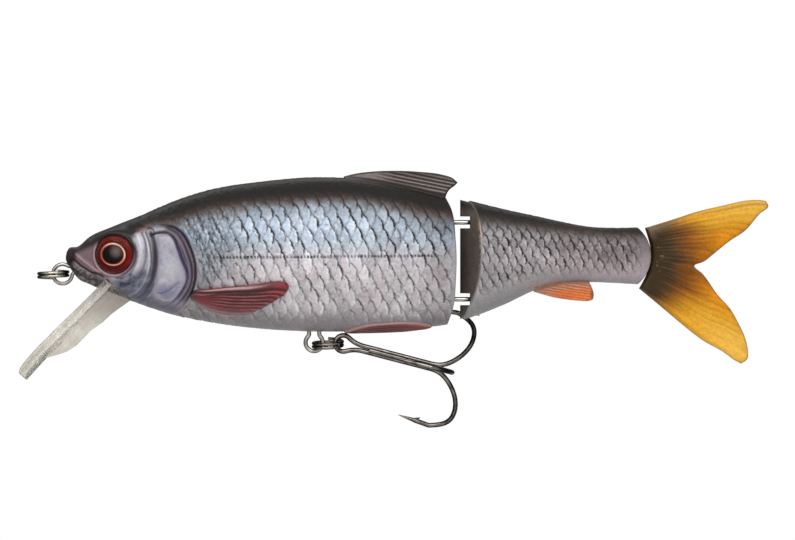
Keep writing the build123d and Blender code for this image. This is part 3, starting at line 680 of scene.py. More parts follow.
def rear_skin(x, z, s, top, bottom):
    """Relief in mm and finish of the rear body at points of its skin."""
    ex, shade, r1, r2, r3 = scales(x, s + 0.06 * (x - 74), 1.77, 1.6, 1.26, 1.86, 60)
    low_edge = hermite(x, [(74, -4.6), (80, -2.2), (88, 0.4), (96, 1.2), (104, 0.9), (110, 0.6)])
    band = smooth(-1.9, 0.9, z - low_edge + 0.5 * grain(x, s, 1.2)) * smooth(108.2, 105.6, x)
    level = z - hermite(x, BACK_LINE)
    inward = x - front_of_rear(z)
    band = band * (1 - 0.8 * smooth(-0.6, 1.8, level)) * smooth(0.0, 0.7, inward)
    speck = grain(x, s, 0.4, 2)
    height = 0.18 * (np.clip(ex, -0.4, 1) - 0.45) * band - 0.08 * shade * band + 0.03 * speck
    paint = mix(rgb(158, 152, 154), rgb(156, 142, 144), smooth(86, 98, x))
    paint = layers(
        paint,
        ((146, 144, 144), smooth(0.5, -3.5, z - low_edge)),
        ((166, 154, 160), smooth(94, 102, x) * smooth(1.5, -1.0, z - low_edge)),
    )
    paint = paint * (1 + ((r1 - 0.5) * 0.3 + (r3 - 0.5) * 0.14) * band + 0.12 * speck)[..., None]
    rough_edge = grain(x, s, 0.45, 1)
    strong = np.clip(0.9 + 0.6 * (r2 - 0.4) + 0.4 * rough_edge, 0.15, 1.2)
    # painted shadow: a patchy grey shade on the part of each scale tucked under the scale in front
    tucked_shade = smooth(0.05, 0.7, grain(x, s, 0.7, 2)) * smooth(0.4, -0.4, ex)
    paint = mix(paint, rgb(76, 72, 76), 0.5 * tucked_shade * band)
    # painted highlight: a pale band along the raised free edge of each scale
    tip = np.clip(1 - np.abs(ex - 0.84) / 0.22, 0, 1) * (1 - shade)
    paint = mix(paint, rgb(214, 208, 210), 0.5 * tip * band * smooth(0.1, 0.7, r1 + 0.4 * rough_edge))
    mottle = grain(x, s, 0.45, 3)
    paint = layers(
        paint,
        ((70, 64, 68), 0.45 * smooth(0.25, 0.8, mottle) * band),
        ((218, 210, 212), 0.4 * smooth(-0.25, -0.8, mottle) * band),
        # painted shadow: dark strokes behind the scale edges
        ((26, 22, 24), np.clip(1.25 * shade * strong, 0, 1) * band),
    )
    # painted light: a brighter patch round x 88, z 3.5; the flank also darkens just under the back line
    lift = smooth(11, 3, np.abs(x - 88)) * smooth(4.0, 1.0, np.abs(z - 3.5))
    tone = (1 - 0.5 * smooth(-4.6, -0.8, level)) * (1 + 0.22 * lift)
    paint = paint * tone[..., None]
    ragged = level + 0.4 * grain(x, s, 1.3, 0) + 0.3 * (ex - 0.3) * smooth(108, 104, x)
    dark = smooth(-1.5, 1.2, ragged)
    brown = mix(rgb(58, 48, 42), rgb(19, 16, 14), smooth(0.2, 2.2, level)) * (1 + 0.3 * speck)[..., None]
    paint = mix(paint, brown, dark)
    blush = smooth(2.2, 0.4, np.hypot((x - 92.5) / 4.0, z + 2.6))
    paint = layers(
        paint,
        ((200, 128, 84), 0.4 * blush),
        ((112, 110, 112), 0.5 * smooth(0.16, 0.0, (z - bottom) / (top - bottom))),
    )
    # painted highlight along the rounded front edge of the rear body, paler high up
    edge_highlight = mix(rgb(190, 170, 150), rgb(106, 98, 94), smooth(9.0, 0.0, z)) * (1 - 0.75 * dark)[..., None]
    paint = mix(paint, edge_highlight, 0.8 * smooth(0.34, 0.16, inward) * smooth(-7.5, -4.5, z))
    metal = 0.3 * (1 - dark) * smooth(0.2, 1, band) + 0.08
    rough = 0.4 + 0.12 * dark + 0.1 * shade
    return height, paint, metal, rough


# ------------------------------------------------------------------ half shells
FRONT_STEPS, REAR_STEPS = 176, 140
front_body = Body(FRONT, FRONT_STEPS)
rear_body = Body(REAR, REAR_STEPS)


def front_of_rear(z):
    return hermite(z, REAR_EDGE)


rear_start = np.full(REAR_STEPS, 77.0)
for _ in range(6):
    at = [np.interp(rear_start[k], rear_body.x, rear_body.z[:, k]) for k in range(REAR_STEPS)]
    rear_start = front_of_rear(np.array(at))


def spread(start, end, step, fine_start, fine_end):
    """Shares of a length with extra rows near its ends, for rounded edges."""
    length = end - start
    n = int(length / step)
    t = list(np.linspace(0, 1, n))
    extra = [0.04, 0.1, 0.17, 0.26]
    if fine_start:
        t += [e / length for e in extra]
    if fine_end:
        t += [1 - e / length for e in extra]
    return np.array(sorted(set(np.round(t, 6))))


def round_over(distance, radius):
    """How far an edge rounded with this radius drops at a distance from it."""
    d = np.clip(radius - distance, 0, radius)
    return radius - np.sqrt(radius**2 - d**2)


ROW_STEP, END_COLUMNS = 0.175, 14  # mm between rows along the body, and columns across an end face


def half_shell(name, body, start, end, skin, side, fine, face_in, face_out, sculpt=None):
    """One closed half of a body: skin, end faces and the flat glued face at y = 0."""
    count = body.y.shape[1]
    share = spread(float(np.min(start)), float(np.max(end)), ROW_STEP, *fine)
    x = start[None, :] + share[:, None] * (end - start)[None, :]
    y, z, s = body.read(x, range(count))
    bottom, top = body.edges(x)
    height, paint, metal, rough = skin(x, z, s, top, bottom)
    if fine[1]:
        height = height * smooth(0.0, 0.5, end[None, :] - x) - round_over(end[None, :] - x, 0.35)
    if fine[0]:
        height = height * smooth(0.0, 0.5, x - start[None, :]) - round_over(x - start[None, :], 0.3)
    p = np.stack([x, y, z], -1)
    du = np.gradient(p, axis=0)
    dv = np.gradient(p, axis=1)
    n = np.cross(dv, du)
    n /= np.linalg.norm(n, axis=-1, keepdims=True) + 1e-12
    n *= np.sign(np.sum(n * np.stack([0 * x, y, z - (top + bottom) / 2], -1), -1, keepdims=True) + 1e-9)
    n[:, 0] = (0, 0, 1)
    n[:, -1] = (0, 0, -1)
    p = p + n * height[..., None]
    if sculpt:
        p = sculpt(p)
    p[:, 0, 1] = 0
    p[:, -1, 1] = 0
    p[..., 1] = np.maximum(p[..., 1], 0)
    blocks = [{"points": p, "grid": x.shape, "values": {"paint": paint, "metal": metal, "rough": rough}}]
    loops = []
    for row, bend, tone in ((p[0], face_in, rgb(92, 84, 78)), (p[-1], face_out, rgb(60, 56, 56))):
        t = np.linspace(0, 1, END_COLUMNS)[:, None]
        face = np.empty((END_COLUMNS, count, 3))
        face[..., 2] = row[None, :, 2]
        face[..., 1] = row[None, :, 1] * (1 - t)
        face[..., 0] = row[None, :, 0] + bend(row[None, :, 0], t, row[None, :, 1])
        low, high = body.edges(row[:, 0])
        new_low, new_high = body.edges(face[..., 0])
        face[..., 2] = new_low + (face[..., 2] - low) * (new_high - new_low) / (high - low)
        face[-1, :, 1] = 0
        shade = (
            np.broadcast_to(tone, face.shape)
            * (0.85 + 0.3 * noise(face[..., 1], face[..., 2], 0.8))[..., None]
        )
        shade = mix(shade, rgb(26, 19, 17), 0.92 * smooth(2.6, 0.9, new_high - face[..., 2]))
        full = np.full(face.shape[:2], 1.0)
        blocks.append(
            {
                "points": face, "grid": face.shape[:2],
                "values": {"paint": shade, "metal": 0.05 * full, "rough": 0.5 * full},
            }
        )
        loops.append(face[-1])
    outline = np.vstack([p[:, 0], loops[1], p[::-1, -1], loops[0][::-1]])
    flat = [Vector(q) for q in outline]
    triangles = tessellate_polygon([[Vector((q[0], q[2], 0)) for q in flat]])
    tone = np.broadcast_to(rgb(60, 56, 56), outline.shape)
    blocks.append(
        {
            "points": outline, "faces": [list(f) for f in triangles],
            "values": {"paint": tone, "rough": np.full(len(outline), 0.5)},
        }
    )
    for block in blocks:
        q = np.asarray(block["points"], float).reshape(-1, 3).copy()
        q[:, 1] *= side
        block["points"] = q
    return build(name, blocks)


EYE_Y, EYE_TURN = 5.3, math.radians(14)
EYE_OUT = np.array([-math.sin(EYE_TURN), math.cos(EYE_TURN), 0])
EYE_ALONG = np.array([math.cos(EYE_TURN), math.sin(EYE_TURN), 0])
EYE_AT = np.array([EYE_X, EYE_Y, EYE_Z])


def seat_eye(p):
    """Raises the skin round the eye to its lid and sinks the seat inside it."""
    q = p - EYE_AT
    r = np.hypot(q @ EYE_ALONG, q[..., 2])
    depth = q @ EYE_OUT
    level = depth * (1 - smooth(5.6, 4.1, r)) + (-0.5 - 0.12 * (r - 3.9)) * smooth(5.6, 4.1, r)
    level = np.maximum(level, depth * smooth(3.6, 4.6, r) - 9 * (r < 4.6))
    level = np.where(r < 3.85, -1.6, level)
    move = np.where((r < 5.6) & (p[..., 1] > 0), level - depth, 0)
    return p + move[..., None] * EYE_OUT


def flat_end(x, t, y_edge):
    return 0 * x + 0 * t


def bevel_end(x, t, y_edge):
    """The V nose: straight from the flank's edge in to a narrow flat at the middle."""
    reach = np.clip(1 - NOSE_HALF / np.maximum(y_edge, 0.001), 0.35, 1)
    return (NOSE_X - x) * np.clip(t / reach, 0, 1)


front_start = np.full(FRONT_STEPS, FRONT[0][0])
front_end = np.full(FRONT_STEPS, 72.5)
for _ in range(3):
    z_end = np.array(
        [np.interp(front_end[k], front_body.x, front_body.z[:, k]) for k in range(FRONT_STEPS)]
    )
    front_end = hermite(z_end, FRONT_EDGE)
rear_end = np.full(REAR_STEPS, 108.0)
for _ in range(3):
    z_end = np.array([np.interp(rear_end[k], rear_body.x, rear_body.z[:, k]) for k in range(REAR_STEPS)])
    rear_end = END_X + np.sqrt(END_R**2 - (z_end - END_Z) ** 2)

JAW = [(8.6, -0.9), (5.0, -3.0), (3.0, -9.0), (13.2, -9.0), (13.2, -5.5)]
turns = np.linspace(-1, 1, 33) * (math.pi - math.asin(math.sqrt(POCKET_R**2 - 0.9**2) / POCKET_R))
SLOT = [(70, -9), (SLOT_END, -9)]
SLOT += [(HINGE_X + POCKET_R * math.cos(a), POCKET_R * math.sin(a)) for a in turns]
SLOT += [(SLOT_END, 9), (70, 9)]

shells = {}
for side, word in ((-1, "left"), (1, "right")):
    shell = half_shell(
        f"front_half_{word}", front_body, front_start, front_end, front_skin, side, (False, True), flat_end,
        flat_end, seat_eye
    )
    cut(shell, prism("jaw_cut", JAW, -20, 20, "xz"))
    sharpen(shell, 50)
    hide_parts(f"front_shell_{word}")
    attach(shell, "front")
    shells[f"front_{word}"] = shell
    shell = half_shell(
        f"rear_half_{word}", rear_body, rear_start, rear_end, rear_skin, side, (True, True), bevel_end,
        flat_end
    )
    for height in HINGES:
        cut(shell, prism("slot_cut", SLOT, height - SLOT_HALF, height + SLOT_HALF))
    sharpen(shell, 50)
    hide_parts(f"rear_shell_{word}")
    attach(shell, "rear")
    shells[f"rear_{word}"] = shell


# ------------------------------------------------------------------ materials
def material(name, rough=0.4, metallic=0.0, **sockets):
    mat = bpy.data.materials.new(name)
    mat.use_nodes = True
    shader = mat.node_tree.nodes["Principled BSDF"]
    shader.inputs["Roughness"].default_value = rough
    shader.inputs["Metallic"].default_value = metallic
    for key, value in sockets.items():
        shader.inputs[key.replace("_", " ")].default_value = value
    return mat, mat.node_tree, shader


def add(tree, kind, inputs=(), **props):
    node = tree.nodes.new(kind)
    for key, value in props.items():
        setattr(node, key, value)
    for key, value in dict(inputs).items():
        if isinstance(value, bpy.types.NodeSocket):
            tree.links.new(value, node.inputs[key])
        else:
            node.inputs[key].default_value = value
    return node


def texture(tree, scale, detail=3.0, stretch=(1, 1, 1), kind="ShaderNodeTexNoise", **inputs):
    """Noise fixed to the object, in lumps of 1/scale metres."""
    spot = add(tree, "ShaderNodeTexCoord").outputs["Object"]
    place = add(tree, "ShaderNodeMapping", {"Vector": spot, "Scale": stretch})
    fields = {"Vector": place.outputs["Vector"], "Scale": scale, **inputs}
    if kind == "ShaderNodeTexNoise":
        fields["Detail"] = detail
    return add(tree, kind, fields)


def ramp(tree, value, low, high, to_low=0.0, to_high=1.0):
    return add(
        tree,
        "ShaderNodeMapRange",
        {"Value": value, "From Min": low, "From Max": high, "To Min": to_low, "To Max": to_high},
    ).outputs["Result"]


def tint(tree, colour, value, low, high):
    """The colour multiplied by a number that runs from low to high."""
    scale = ramp(tree, value, 0.25, 0.75, low, high)
    grey = add(tree, "ShaderNodeCombineColor", {"Red": scale, "Green": scale, "Blue": scale})
    node = add(tree, "ShaderNodeMix", data_type="RGBA", blend_type="MULTIPLY")
    node.inputs["Factor"].default_value = 1.0
    tree.links.new(colour, node.inputs["A"])
    tree.links.new(grey.outputs["Color"], node.inputs["B"])
    return node.outputs["Result"]


def blend_colour(tree, a, b, factor):
    node = add(tree, "ShaderNodeMix", data_type="RGBA")
    for key, value in (("A", a), ("B", b), ("Factor", factor)):
        if isinstance(value, bpy.types.NodeSocket):
            tree.links.new(value, node.inputs[key])
        else:
            node.inputs[key].default_value = value
    return node.outputs["Result"]


def bump(tree, shader, value, distance, strength):
    node = add(tree, "ShaderNodeBump", {"Height": value, "Distance": distance, "Strength": strength})
    tree.links.new(node.outputs["Normal"], shader.inputs["Normal"])


def painted(name, grain_scale, grain_low, grain_high, rough_add=0.08, bump_depth=0.00002, **sockets):
    """A material coloured by the piece's own paint attribute, with grain, gloss and fine relief."""
    mat, tree, shader = material(name, **sockets)
    paint = add(tree, "ShaderNodeAttribute", attribute_name="paint").outputs["Color"]
    fine = texture(tree, grain_scale, 4.0)
    colour = tint(tree, paint, fine.outputs["Fac"], grain_low, grain_high)
    flakes = texture(tree, grain_scale * 2.6, kind="ShaderNodeTexVoronoi")
    bright = add(tree, "ShaderNodeSeparateColor", {"Color": flakes.outputs["Color"]}).outputs["Red"]
    colour = tint(tree, colour, bright, 0.93, 1.07)
    tree.links.new(colour, shader.inputs["Base Color"])
    value = add(tree, "ShaderNodeAttribute", attribute_name="rough").outputs["Fac"]
    patch = texture(tree, grain_scale * 0.35, 2.0)
    patchy = ramp(tree, patch.outputs["Fac"], 0.3, 0.7, -rough_add, rough_add)
    total = add(tree, "ShaderNodeMath", operation="ADD", use_clamp=True)
    tree.links.new(value, total.inputs[0])
    tree.links.new(patchy, total.inputs[1])
    tree.links.new(total.outputs[0], shader.inputs["Roughness"])
    bump(tree, shader, fine.outputs["Fac"], bump_depth, 0.6)
    return mat, tree, shader


def plain(name, dark, light, scale, rough=(0.3, 0.4), bump_depth=0.00001, stretch=(1, 1, 1), **sockets):
    """A material of two close colours mixed by noise, with varied gloss and fine relief."""
    mat, tree, shader = material(name, **sockets)
    fine = texture(tree, scale, 4.0, stretch)
    mixed = blend_colour(tree, (*dark, 1), (*light, 1), ramp(tree, fine.outputs["Fac"], 0.3, 0.7))
    tree.links.new(mixed, shader.inputs["Base Color"])
    wide = texture(tree, scale * 0.3, 2.0, stretch)
    tree.links.new(ramp(tree, wide.outputs["Fac"], 0.3, 0.7, *rough), shader.inputs["Roughness"])
    bump(tree, shader, fine.outputs["Fac"], bump_depth, 0.5)
    return mat, tree, shader


def wire(name, rim, core, scale, rough, reach=(0.2, 0.75), metallic=0.85):
    """Polished wire with a painted reflection: the base colour is bright where it faces the eye and dark
    where it turns away; with draw marks.
    """
    mat, tree, shader = material(name, metallic=metallic)
    facing = add(tree, "ShaderNodeLayerWeight", {"Blend": 0.5}).outputs["Facing"]
    fine = texture(tree, scale, 4.0)
    grey = ramp(tree, fine.outputs["Fac"], 0.3, 0.7, -0.12, 0.12)
    edge = add(tree, "ShaderNodeMath", {0: facing, 1: grey}, operation="ADD").outputs[0]
    mixed = blend_colour(tree, (*core, 1), (*rim, 1), ramp(tree, edge, *reach))
    tree.links.new(mixed, shader.inputs["Base Color"])
    wide = texture(tree, scale * 0.3, 2.0)
    tree.links.new(ramp(tree, wide.outputs["Fac"], 0.3, 0.7, *rough), shader.inputs["Roughness"])
    bump(tree, shader, fine.outputs["Fac"], 0.00001, 0.5)
    return mat


def dress(obj, mat):
    obj.data.materials.clear()
    obj.data.materials.append(mat)


def dress_node(node, mat):
    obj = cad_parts[node]
    for place in obj.material_slots:
        place.material = mat


LIP_TURN = 47.5
skin, tree, shader = painted(
    "fish_skin", 2600, 0.88, 1.12, 0.06, 0.000005, Coat_Weight=0.2, Coat_Roughness=0.14,
    Specular_IOR_Level=0.25,
)
metal = add(tree, "ShaderNodeAttribute", attribute_name="metal").outputs["Fac"]
tree.links.new(metal, shader.inputs["Metallic"])
fin_paint, _, _ = painted(
    "fin_paint", 1900, 0.86, 1.12, 0.06, 0.00001, Coat_Weight=0.2, Coat_Roughness=0.15,
    Specular_IOR_Level=0.3,
)
tail_rubber, _, _ = painted(
    "tail_rubber", 1500, 0.93, 1.07, 0.06, 0.00002,
    Subsurface_Weight=0.2, Subsurface_Scale=0.0008, Specular_IOR_Level=0.2,
)
eye_foil, _, _ = painted("eye_print", 3000, 0.92, 1.08, 0.04, 0.000004, Specular_IOR_Level=0.03)

clear_lip, tree, shader = plain(
    "lip_plastic", rgb(222, 216, 203), rgb(246, 242, 232), 420, (0.12, 0.24), 0.00005, (1, 3, 1),
    Transmission_Weight=0.78, IOR=1.5,
)
spot = add(tree, "ShaderNodeTexCoord").outputs["Object"]
turned = add(
    tree, "ShaderNodeMapping", {"Vector": spot, "Rotation": (0, math.radians(LIP_TURN), 0)},
).outputs["Vector"]
drawn = add(tree, "ShaderNodeMapping", {"Vector": turned, "Scale": (0.1, 1.0, 1.0)}).outputs["Vector"]
streaks = add(tree, "ShaderNodeTexNoise", {"Vector": drawn, "Scale": 1500, "Detail": 4.0}).outputs["Fac"]
along = add(tree, "ShaderNodeSeparateXYZ", {"Vector": turned}).outputs["X"]
base = shader.inputs["Base Color"].links[0].from_socket
colour = tint(tree, base, streaks, 0.78, 1.06)
# painted shadow of the jaw and painted reflection of the dark head: the lip darkens towards its root
root = ramp(tree, along, -0.0045, 0.004, 0.0, 0.75)
colour = blend_colour(tree, colour, (*rgb(128, 118, 112), 1), root)
tree.links.new(colour, shader.inputs["Base Color"])
bump(tree, shader, streaks, 0.00012, 0.8)
clear_dome, _, _ = plain(
    "eye_resin", (0.97, 0.97, 0.97), (1, 1, 1), 900, (0.02, 0.05), 0.0000001, Transmission_Weight=1.0,
    IOR=1.2
)
bright_wire = wire("bright_wire", rgb(22, 20, 19), rgb(206, 200, 192), 1500, (0.12, 0.26), (0.0, 0.42))
bright_pin = wire("bright_pin", rgb(60, 58, 56), rgb(226, 224, 220), 1200, (0.18, 0.34))
bright_ring = wire("bright_ring", rgb(24, 22, 21), rgb(206, 198, 188), 1500, (0.12, 0.26), (0.0, 0.42))
dark_ring = wire("dark_ring", rgb(14, 12, 12), rgb(140, 132, 124), 1500, (0.14, 0.28), (0.0, 0.36))
dark_hook = wire("black_nickel", rgb(7, 6, 6), rgb(150, 142, 134), 520, (0.1, 0.22), (-0.04, 0.24))
lead, _, _ = plain("lead_weight", rgb(84, 84, 88), rgb(120, 120, 124), 700, (0.4, 0.6), metallic=0.8)

for nodes, mat in (
    (("diving_lip",), clear_lip),
    (("eye_dome_left", "eye_dome_right"), clear_dome),
    (("nose_eye", "belly_eye", "upper_hinge_eye", "lower_hinge_eye"), bright_wire),
    (("upper_hinge_pin", "lower_hinge_pin", "tail_pin"), bright_pin),
    (("line_ring",), bright_ring),
    (("belly_ring",), dark_ring),
    (("treble_double_hook", "treble_single_hook"), dark_hook),
    (("belly_ballast", "rear_ballast"), lead),
):
    for name in nodes:
        dress_node(name, mat)
for shell in shells.values():
    dress(shell, skin)


# ------------------------------------------------------------------ eyes
IRIS_R = 3.62


def lathe(radii, depths, paint, rough, turns=144):
    """A grid turned round the eye axis, with the first and last rows joined."""
    angle = np.linspace(0, 2 * math.pi, turns + 1)[None, :]
    r, c = np.asarray(radii, float)[:, None], np.asarray(depths, float)[:, None]
    a, b = r * np.cos(angle), r * np.sin(angle)
    points = (
        EYE_AT + a[..., None] * EYE_ALONG + b[..., None]
        * np.array([0, 0, 1]) + (c + 0 * a)[..., None] * EYE_OUT
    )
    values = {"paint": paint(a, b, r + 0 * a), "rough": rough + 0 * a}
    return {"points": points, "grid": a.shape, "values": values}


def iris_paint(a, b, r):
    angle = np.arctan2(b, a)
    fibre = grain(angle * 9, r * 1.1, 1.0, 2)
    colour = mix(rgb(138, 20, 12), rgb(84, 12, 9), smooth(2.6, 3.35, r))
    colour = layers(
        colour,
        ((62, 10, 8), 0.8 * smooth(-1.0, -2.6, b)),
        ((96, 16, 12), 0.6 * smooth(0.6, 2.6, b + 0.3 * a)),
    )
    colour = colour * (1 + 0.35 * fibre)[..., None]
    a, b = a + 0.26, b - 0.02
    ring = np.hypot(a / 2.26, b / 1.98) * 2.26
    gold = mix(rgb(190, 92, 74), rgb(240, 184, 156), smooth(-1.6, 1.4, b + 0.5 * a))
    gold = layers(
        gold,
        ((128, 84, 72), 0.8 * smooth(-0.8, -2.0, a) * smooth(-1.4, 0.2, b)),
        ((236, 150, 128), smooth(-1.2, -2.0, b)),
    )
    colour = mix(colour, rgb(50, 10, 8), 0.8 * smooth(0.55, 0.2, np.abs(ring - 2.6)))
    colour = mix(colour, gold, smooth(0.21, 0.06, np.abs(ring - 2.24 + 0.05 * np.sin(2 * angle))))
    colour = mix(colour, rgb(84, 26, 18), smooth(2.12, 1.98, ring))
    pupil = np.hypot(a / 1.98, b / 1.68) * 2.0
    # painted reflection: a pale spot in the upper part of the pupil
    core = mix(rgb(9, 8, 7), rgb(104, 92, 90), smooth(1.7, 0.0, np.hypot(a - 0.65, b - 0.6)))
    colour = mix(colour, core, smooth(2.06, 1.86, pupil))
    return mix(colour, rgb(16, 6, 7), smooth(3.42, 3.58, r))


def ring_paint(a, b, r):
    colour = mix(
        rgb(30, 14, 16), rgb(160, 130, 134), smooth(3.64, 3.76, r) * smooth(2.6, -0.6, b + 0.6 * a),
    )
    colour = layers(
        colour,
        ((74, 52, 60), smooth(3.95, 4.3, r) * smooth(2.4, 0.6, a)),
        ((96, 76, 90), smooth(3.7, 3.95, r) * smooth(1.2, 2.8, a - 0.2 * b)),
        # painted shade of the brow over the ring's top
        ((16, 8, 9), smooth(0.4, 2.2, b + 0.2 * a)),
    )
    return colour * (0.92 + 0.16 * noise(a, b, 0.5))[..., None]


for side, word in ((-1, "left"), (1, "right")):
    radii = np.concatenate([[0.0], np.linspace(0.05, IRIS_R, 70), [IRIS_R, 0.0]])
    crown = 0.2 * (1 - (np.clip(radii, 0, IRIS_R) / IRIS_R) ** 2)
    step = 0.07 * smooth(2.1, 1.95, radii) - 0.05 * np.exp(-(((radii - 2.2) / 0.1) ** 2))
    depths = -0.86 + crown + step
    depths[-2:] = -1.28
    iris = lathe(radii, depths, iris_paint, 0.3)
    turn = np.linspace(math.pi * 0.98, -0.05 * math.pi, 16)
    lid_r = np.concatenate(
        [[IRIS_R + 0.01, IRIS_R + 0.02], 3.94 + 0.3 * np.cos(turn), [4.6, 4.2, IRIS_R + 0.01]]
    )
    lid_c = np.concatenate([[-1.3, -0.8], -0.62 + 0.3 * np.sin(turn), [-1.3, -1.6, -1.3]])
    lid = lathe(lid_r, lid_c, ring_paint, 0.34)
    radii = np.concatenate([[0.0], np.linspace(0.08, IRIS_R, 40), [IRIS_R, 0.0]])
    depths = -0.72 + 1.1 * np.sqrt(np.clip(1 - (radii / (IRIS_R + 0.02)) ** 2, 0, 1))
    depths[-2:] = -0.8
    lens = lathe(radii, depths, iris_paint, 0.02)
    for block in (iris, lid, lens):
        block["points"] = block["points"] * np.array([1, side, 1])
    lens = build(f"eye_lens_{word}", [lens])
    sharpen(lens, 60)
    dress(lens, clear_dome)
    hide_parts(f"eye_dome_{word}")
    eye = build(f"eye_iris_{word}", [iris])
    sharpen(eye, 60)
    dress(eye, eye_foil)
    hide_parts(f"eye_foil_{word}")
    ring = build(f"eye_ring_{word}", [lid])
    dress(ring, fin_paint)
    for piece in (eye, ring, lens):
        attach(piece, "front")


# ------------------------------------------------------------------ fins
def coons(top, bottom, left, right, n, m):
    """A grid between four edges: the first axis runs left to right, the second top to bottom."""
    c0, c1 = resample(top, n), resample(bottom, n)
    d0, d1 = resample([top[0], *left, bottom[0]], m), resample([top[-1], *right, bottom[-1]], m)
    u = np.linspace(0, 1, n)[:, None, None]
    v = np.linspace(0, 1, m)[None, :, None]
    edges = (1 - v) * c0[:, None] + v * c1[:, None] + (1 - u) * d0[None] + u * d1[None]
    corners = (1 - u) * ((1 - v) * c0[0] + v * c1[0]) + u * ((1 - v) * c0[-1] + v * c1[-1])
    grid = edges - corners
    u, v = u[..., 0] + 0 * v[..., 0], v[..., 0] + 0 * u[..., 0]
    return grid[..., 0], grid[..., 1], u, v


def rim_distance(x, z):
    """Distance of each grid point to the grid's outer edge."""
    loop = np.concatenate(
        [
            np.stack([x[:, 0], z[:, 0]], 1),
            np.stack([x[-1, :], z[-1, :]], 1),
            np.stack([x[::-1, -1], z[::-1, -1]], 1),
            np.stack([x[0, ::-1], z[0, ::-1]], 1),
        ]
    )
    return line_distance(x, z, loop[:: max(1, len(loop) // 260)].tolist() + [loop[0].tolist()], False)[0]


FIN_FOOT = -0.7  # how far the inner side of a moulded fin lies under the skin


def rounded(distance, radius):
    """How full a fin is at a distance from its rim: 0 at the rim, 1 from the radius on."""
    return np.sqrt(np.clip(1 - (1 - np.clip(distance / radius, 0, 1)) ** 2, 0, 1))


def blade(name, x, z, half, edge_r, paint, rough):
    """A closed fin on the midplane from a grid, its half thickness and an edge radius."""
    d = rim_distance(x, z)
    d[0, :] = d[-1, :] = 0
    d[:, 0] = d[:, -1] = 0
    y = half * rounded(d, edge_r)
    blocks = []
    for side in (-1, 1):
        values = {"paint": paint, "rough": rough + 0 * x}
        blocks.append({"points": np.stack([x, side * y, z], -1), "grid": x.shape, "values": values})
    return build(name, blocks)


def closed_sheet(name, outer, inner, paint, rough):
    """A closed fin from its outer and inner grids of points."""
    blocks = []
    for points in (outer, inner):
        values = {"paint": paint, "rough": np.full(paint.shape[:2], rough)}
        blocks.append({"points": points, "grid": points.shape[:2], "values": values})
    for edge in ((0, slice(None)), (-1, slice(None)), (slice(None), 0), (slice(None), -1)):
        strip = np.stack([outer[edge], inner[edge]])
        values = {"paint": np.stack([paint[edge]] * 2), "rough": np.full(strip.shape[:2], rough)}
        blocks.append({"points": strip, "grid": strip.shape[:2], "values": values})
    return build(name, blocks)


def applied(name, body, x, z, thick, side, paint, rough):
    """A closed fin lying on the flank from a grid and its height over the skin."""
    y = body.width(x, z)
    outer, inner = (np.stack([x, side * (y + lift), z], -1) for lift in (thick, FIN_FOOT + 0 * thick))
    return closed_sheet(name, outer, inner, paint, rough)


def wrapped(name, body, x, w, thick, side, paint, rough):
    """A closed fin whose grid is x and the distance round the skin from the keel."""
    y, z, ny, nz = (np.empty(x.shape) for _ in range(4))
    for at in np.ndindex(x.shape):
        i = min(max(int(np.searchsorted(body.x, x[at])), 1), len(body.x) - 1)
        arc = body.arc[i][::-1] - body.arc[i][-1]
        near, far = max(w[at] - 0.05, 0), w[at] + 0.05
        y0, y1 = np.interp([near, far], arc, body.y[i][::-1])
        z0, z1 = np.interp([near, far], arc, body.z[i][::-1])
        size = math.hypot(y1 - y0, z1 - z0)
        y[at], z[at] = (y0 + y1) / 2, (z0 + z1) / 2
        ny[at], nz[at] = (z1 - z0) / size, -(y1 - y0) / size
    outer, inner = (
        np.stack([x, side * np.maximum(y + ny * lift, 0.02), z + nz * lift], -1)
        for lift in (thick, FIN_FOOT + 0 * thick)
    )
    return closed_sheet(name, outer, inner, paint, rough)


# dorsal fin: a low blade whose rays slope back to its trailing edge
top = [
    (52.3, 18.15), (54.4, 18.65), (57.5, 19.05), (61.0, 19.2), (66.5, 19.0), (70.5, 18.5), (72.6, 17.8),
    (73.5, 17.0),
]
foot = [(52.3, 17.2), (58.6, 16.2), (65.0, 14.8), (71.2, 13.4)]
x, z, u, v = coons(top, foot, [], [(72.9, 16.4), (71.9, 15.6), (71.35, 14.6)], 240, 70)
body_top = np.interp(x, front_body.x, front_body.z[:, 0])
rise = z - body_top
q = z + 0.2 * (x - 71)
ray = np.cos(2 * math.pi * (q - 14.5) / 0.66)
on = smooth(56.5, 63, x + 0.6 * (q - 16)) * smooth(-0.2, 0.3, rise)
half = 0.42 + 0.28 * smooth(2.2, 0.2, rise) + 1.3 * smooth(0.75, -0.5, rise) ** 2 + 0.13 * ray * on
paint = mix(rgb(116, 104, 101), rgb(84, 74, 70), smooth(0.4, 2.4, z - 17.4 + 0.06 * (x - 61)))
paint = paint * (1 + 0.12 * grain(q * 2.2, x * 0.3, 0.6))[..., None]
paint = layers(
    paint,
    ((26, 20, 18), 0.88 * smooth(0.05, -0.75, ray) * on),
    ((172, 158, 152), 0.5 * smooth(0.5, 1.0, ray) * on * smooth(18.6, 17.2, z + 0.1 * (x - 66))),
    ((34, 27, 24), smooth(0.5, 0.1, rise) * 0.9),
    ((20, 16, 15), smooth(0.45, 0.1, rim_distance(x, z))),
)
dorsal = blade("dorsal_fin", x, z, half, 0.5, paint, 0.4)

